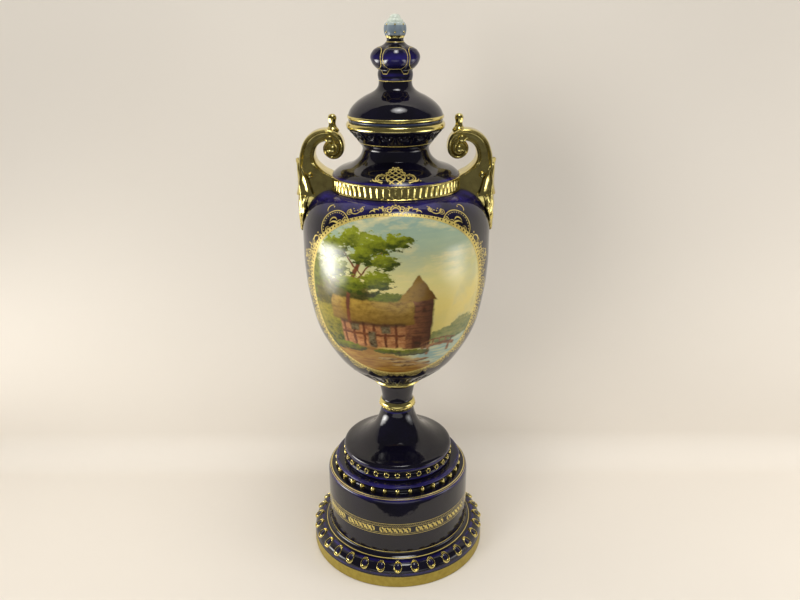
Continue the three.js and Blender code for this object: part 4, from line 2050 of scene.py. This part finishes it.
    def _leaf(self) -> Piece:
        """The acanthus leaf up the outside of the bar, in two tiers."""
        tiers = [self._tier("lower", self.lower_leaf, 7.0), self._tier("upper", self.upper_leaf, 5.0)]
        return smooth_off(joined("handle_right_leaf", tiers), 60)

    def _tier(self, name: str, rows: Sequence[Sequence[float]], veins: float) -> Piece:
        """One tier of the leaf, folded round the bar's back.

        Args:
            name: Its name.
            rows: The tier's course, foot to tip.
            veins: How many side veins leave its rib.

        Returns:
            The tier, with its thickness.
        """
        put_down()
        bpy.ops.mesh.primitive_grid_add(x_subdivisions=56, y_subdivisions=56, size=2 * MM)
        tier = named(name)
        places = places_of(tier)
        across, along = places[:, 0], (places[:, 1] + 1) / 2
        course = spline(rows, 200)
        at = np.linspace(0, 1, len(course))
        z, x_edge, x_back, half_depth = (np.interp(along, at, column) for column in course.T)
        side, turn = np.abs(across), np.abs(across) * math.pi / 2
        rib = 0.55 * np.clip(1 - side * 12, 0, 1)
        vein = 0.3 * np.cos((along * veins - side * 2.4) * FULL_TURN / 2) * np.clip(side * 4, 0, 1)
        rim = 0.7 * np.clip(1 - np.abs(side - 0.95) / 0.08, 0, 1)
        hollow = 0.9 * np.clip(1 - ((side - 0.74) / 0.17) ** 2, 0, 1)
        notch = 0.9 * np.abs(np.sin(along * veins * math.pi / 2)) * np.clip(side * 4 - 3, 0, 1)
        x = x_edge + notch + (x_back - x_edge - notch) * np.cos(turn) ** 0.5 + rib + vein * (side < 0.5)
        y = np.sign(across) * (half_depth * np.sin(turn) ** 0.6 + rim - hollow + vein * (side >= 0.5))
        move_to(tier, np.column_stack([x, y, z]))
        take_up(tier)
        bpy.ops.object.modifier_add(type="SOLIDIFY")
        tier.modifiers[-1].thickness = self.leaf_thickness * MM
        tier.modifiers[-1].offset = 0.0
        bpy.ops.object.modifier_apply(modifier=tier.modifiers[-1].name)
        close_up(tier)
        return tier


# ---------------- lid


@dataclass
class Lid:
    """The domed lid with its melon knob, calyx and bud."""

    steps: int = 256
    lobes: int = 5
    petals: int = 6

    def __post_init__(self) -> None:
        """Draws the outline, from inside the dome round to the top of the bud."""
        self.outline = Outline([
            Knot(0, 404), Knot(12, 403, 4), Knot(26.4, 394.4, 4), Knot(31.6, 388.6, 3),
            Knot(22.4, 384.9, 2), Knot(22.4, 371.9, 0.6), Knot(25.4, 371.9, 0.6), Knot(25.9, LID_BASE, 0.3),
            Knot(36.0, LID_BASE, 0.3),
            *curve([(36.6, 383.6), (36.7, 384.6), (36.7, 385.2)], 3),
            *curve([(37.3, 385.5), (37.5, 386.4), (37.2, 387.4), (36.7, 387.8)], 7),
            *curve([
                (36.4, 388.6), (35.2, 391.4), (32.8, 394.6), (29.7, 397.5), (26.6, 399.7), (22.7, 402),
            ], 26),
            *curve([(18.8, 403.8), (15.4, 406), (13.2, 409), (12.6, 412.6)], 14),
            *curve([(12.8, 413.4), (13.4, 415.4), (13.6, 417), (13.4, 419), (12.9, 420.2)], 8),
            *curve([
                (13.4, 420.9), (15.4, 422.6), (17.6, 425.2), (19.1, 429.2), (18.5, 432.4), (16.3, 435.4),
            ], 24),
            *curve([(13.2, 437), (9.8, 438.2), (8.0, 439.4)], 8),
            *curve([(6.8, 440.6), (6.3, 441.8), (6.5, 443.2), (7.6, 445.2)], 8),
            *curve([(8.3, 447.4), (8.5, 449.6), (8.2, 451.8), (7.4, 453.6), (6.6, 454.2)], 12),
            *curve([
                (6.0, 454.5), (5.8, 455.6), (4.9, 456.6), (4.2, 457.2), (3.8, 458.3), (2.4, 459.6), (0, 460),
            ], 18),
        ])

    def build(self) -> None:
        """Builds and dresses the lid."""
        lid = spun("lid_dome", self.outline, self.steps)
        melon = self.outline.run_at(12.9, 420.2), self.outline.run_at(8.0, 439.4)
        neck = self.outline.run_at(12.8, 413.4)
        bud = self.outline.run_at(6.3, 441.8), self.outline.run_at(4.2, 457.2)

        def lobed(turns: np.ndarray, runs: np.ndarray) -> np.ndarray:
            """The valleys between the lobes, and the cup's seams.

            Args:
                turns: Each vertex's turn.
                runs: Its length along the outline.

            Returns:
                Its move outwards, in mm.
            """
            round_melon = np.clip((runs - melon[0]) / (melon[1] - melon[0]), 0, 1)
            round_neck = np.clip((runs - neck) / (melon[0] - neck), 0, 1)
            round_bud = np.clip((runs - bud[0]) / (bud[1] - bud[0]), 0, 1)
            valley = 2.3 * np.sin(round_melon * math.pi) ** 0.8 * (1 - np.abs(np.cos(turns * self.lobes / 2)))
            valley += 0.8 * np.sin(round_neck * math.pi) * (1 - np.abs(np.cos(turns * self.lobes / 2)))
            seam = 1.2 * np.sin(round_bud * math.pi) ** 0.6 * (1 - np.abs(np.sin(turns * self.petals / 2)))
            return -valley - seam

        swell(lid, lobed)
        smooth_off(lid, 50)
        dress(lid, Slot.LID, self._glaze().material(), node="lid")
        dress(self._beads(), Slot.LID, Gilding("lid_gold").material())

    def _glaze(self) -> Glaze:
        """Cobalt, a gilt rim, gilt lines between the lobes, a painted highlight along the seam and a pale cup
        and bud.

        Returns:
            The finish.
        """
        return Glaze(
            "lid_cobalt",
            self.outline,
            gold=(Band((36.9, 385.4), (36.8, 387.6)), Band((6.5, 443.2), (7.3, 444.8))),
            lines=((12.7, 412.9, 0.26), (7.0, 440.6, 0.26)),
            thin=((19.1, 429.6, 12.0), (12.9, 414.2, 1.6), (13.6, 417.4, 2.6)),
            pale=(
                # The pale blue-grey line on the lid's foot edge is a painted highlight along the seam where
                # the lid sits on the mouth.
                (Band((36.3, 383.0), (36.7, 384.6)), tint(58, 66, 88)),
                (Band((0, 404), (25.9, 382.9)), PORCELAIN),
                (Band((7.4, 445.2), (8.0, 452.6)), tint(122, 136, 148)),
                (Band((8.0, 452.3), (6.2, 454.6)), tint(172, 184, 180)),
                (Band((6.2, 454.4), (0, 460)), tint(204, 214, 202)),
            ),
            bare=(Band((25.9, 382.6), (35.9, LID_BASE)),),
            ornament=self._seams,
        )

    def _seams(self, wall: Wall) -> Shade:
        """Gold lines that outline each lobe of the melon.

        Args:
            wall: Places on the piece.

        Returns:
            The mask.
        """
        cell = FULL_TURN / self.lobes
        from_middle = abs(wall.turn.wrapped(cell))
        radius = 16.5
        beside = (cell / 2 - from_middle) * radius
        low, high = self.outline.run_at(14.4, 421.8), self.outline.run_at(13.4, 436.9)
        up = (wall.run - (low + high) / 2) * (2 / (high - low))
        inside = up.within(1.0, 0.03)
        arch = (beside - 1.0 - up * up * up * up * 5.0).within(0.3, 0.2) * inside
        top = (wall.run - high).within(0.3, 0.2) * beside.above(5.2, 0.3)
        dip = beside.ramp(-0.3, 1.7)
        foot = (wall.run - low + dip * 4.4).within(0.3, 0.2)
        return arch.most(top).most(foot)

    def _beads(self) -> Piece:
        """Small gilt beads at the foot and the top of the cup's seams.

        Returns:
            Both rings in one mesh.
        """
        outline = Outline([*curve([(0, 0.5), (0.4, 0.4), (0.65, 0.1), (0.75, -0.4)], 5), Knot(0, -0.4)])
        rings = [
            Boss(name, outline, 10, radius, height, lean, self.petals, sharp_angle=70).ring()
            for name, radius, height, lean in (("foot", 7.7, 447.2, -18.0), ("top", 7.0, 452.8, 24.0))
        ]
        return joined("lid_cup_beads", rings)


# ---------------- studio


@dataclass(frozen=True)
class Lamp:
    """A soft light aimed at the middle of the urn, which the camera doesn't see.

    Attributes:
        name: Its name.
        place: Where it stands, in metres.
        size: Its width and height, in metres.
        power: Its power.
        colour: Its colour.
        spread: How widely it shines, in degrees.
        mirrored: Whether the glaze mirrors it.
    """

    AIM = (0.0, 0.0, 0.24)
    FADE = ((1.0, 0.44), (0.8, 0.28), (0.6, 0.16), (0.42, 0.08), (0.24, 0.04))
    FADE_GAP = 0.002

    name: str
    place: tuple[float, float, float]
    size: tuple[float, float]
    power: float
    colour: tuple[float, float, float]
    spread: float = 180.0
    mirrored: bool = True

    def add(self) -> None:
        """Adds it to the scene."""
        turn = (Vector(self.AIM) - Vector(self.place)).to_track_quat("-Z", "Y").to_euler()
        bpy.ops.object.light_add(type="AREA", location=self.place, rotation=turn)
        light = bpy.context.object
        light.name = self.name
        light.visible_camera = False
        light.visible_glossy = self.mirrored
        light.data.shape = "ELLIPSE"
        light.data.size, light.data.size_y = self.size
        light.data.energy = self.power
        light.data.spread = math.radians(self.spread)
        light.data.color = self.colour

    def add_faded(self) -> None:
        """Adds it as ellipses of falling size, one before another, so that its edge fades."""
        for step, (share, part) in enumerate(self.FADE):
            nearer = tuple(length * (1 - self.FADE_GAP * step) for length in self.place)
            size = (self.size[0] * share, self.size[1] * share)
            name, power = f"{self.name}_{step}", self.power * part
            replace(self, name=name, place=nearer, size=size, power=power).add()


@dataclass
class Studio:
    """A pale sweep under soft lights, a dim room and the camera.

    The lamps that fade stand at the sides and overhead, where the glaze mirrors them. The fills
    light the sweep and the gold, and the glaze doesn't mirror them.
    """

    WARM = (1.0, 0.975, 0.93)
    WHITE = (1.0, 0.985, 0.955)

    sweep_front: float = -150.0
    sweep_back: float = 124.0
    sweep_bend: float = 34.0
    sweep_height: float = 1500.0
    sweep_width: float = 1500.0
    room_colour: Colour = (1.0, 0.97, 0.92, 1.0)
    room_strength: float = 0.105
    camera_place: tuple[float, float, float] = (0.0037, -0.591, 0.4597)
    camera_pitch: float = 69.13
    camera_roll: float = 0.24
    camera_lens: float = 33.75
    faded: tuple[Lamp, ...] = (
        Lamp("side_left", (-0.60, -0.08, 0.11), (0.64, 0.23), 0.62, WARM, spread=80.0),
        Lamp("side_right", (0.595, -0.175, 0.11), (0.56, 0.25), 0.15, WHITE, spread=80.0),
        Lamp("top", (0.10, -0.27, 1.36), (0.50, 0.44), 3.1, WHITE),
    )
    plain: tuple[Lamp, ...] = (
        Lamp("front_low", (0.0, -0.50, 0.03), (0.70, 0.14), 0.22, WHITE),
        Lamp("overhead", (0.10, -0.30, 1.50), (1.2, 1.0), 7.0, WHITE, mirrored=False),
        Lamp("left", (-0.75, -0.75, 0.55), (0.6, 0.6), 5.7, WARM, mirrored=False),
        Lamp("right", (0.75, -0.25, 0.32), (0.5, 0.4), 2.1, WARM, mirrored=False),
    )

    def build(self) -> None:
        """Sets everything up."""
        self._sweep()
        self._world()
        for lamp in self.faded:
            lamp.add_faded()
        for lamp in self.plain:
            lamp.add()
        self._camera()
        scene = bpy.context.scene
        scene.view_settings.view_transform = "Standard"
        scene.view_settings.look = "None"

    def _sweep(self) -> None:
        """The floor, which bends up into the backdrop. It shows from its front alone."""
        turns = np.linspace(0, math.pi / 2, 13)
        arc = np.column_stack([
            self.sweep_back - self.sweep_bend + self.sweep_bend * np.sin(turns),
            self.sweep_bend - self.sweep_bend * np.cos(turns),
        ])
        course = np.vstack([(self.sweep_front, 0.0), arc, (self.sweep_back, self.sweep_height)])
        sweep = wired("studio_sweep", np.insert(course, 0, -self.sweep_width, axis=1))
        across = {"value": (2 * self.sweep_width * MM, 0, 0)}
        bpy.ops.mesh.extrude_edges_move(TRANSFORM_OT_translate=across)
        close_up(sweep, 0.01)
        if sum(face.normal.z * face.area for face in sweep.data.polygons) < 0:
            take_up(sweep, edit=True)
            bpy.ops.mesh.flip_normals()
            put_down()
        smooth_off(sweep, 60)
        sweep.data.materials.append(self._paper())

    def _paper(self) -> Finish:
        """Pale paper that is clear from behind.

        Returns:
            The material.
        """
        graph = Graph("studio_paper")
        paper = graph.mix(graph.noise(3.0, 2.0), tint(226, 219, 209), tint(230, 224, 215))
        behind = graph.node("ShaderNodeNewGeometry", output="Backfacing")
        inputs = {"Base Color": paper, "Roughness": 0.85, "Alpha": 1.0 - behind}
        return graph.finish(inputs, None, 0.0)

    def _world(self) -> None:
        """A dim room."""
        world = bpy.data.worlds.new("studio_room")
        world.use_nodes = True
        background = world.node_tree.nodes["Background"]
        background.inputs["Color"].default_value = self.room_colour
        background.inputs["Strength"].default_value = self.room_strength
        bpy.context.scene.world = world

    def _camera(self) -> None:
        """The camera, a little above the lid and looking down."""
        turn = (math.radians(self.camera_pitch), math.radians(self.camera_roll), 0)
        bpy.ops.object.camera_add(location=self.camera_place, rotation=turn)
        camera = bpy.context.object
        camera.name = "camera"
        camera.data.lens = self.camera_lens
        camera.data.sensor_width = 36.0
        camera.data.clip_start = 0.01
        camera.data.dof.use_dof = False
        bpy.context.scene.camera = camera


# ---------------- the whole


def main() -> None:
    """Loads the frame and builds every piece."""
    logging.basicConfig(level=logging.INFO, format="%(name)s %(message)s")
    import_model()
    Plinth().build()
    Vessel().build()
    Handle().build()
    Lid().build()
    Studio().build()


if __name__ == "__main__":
    main()
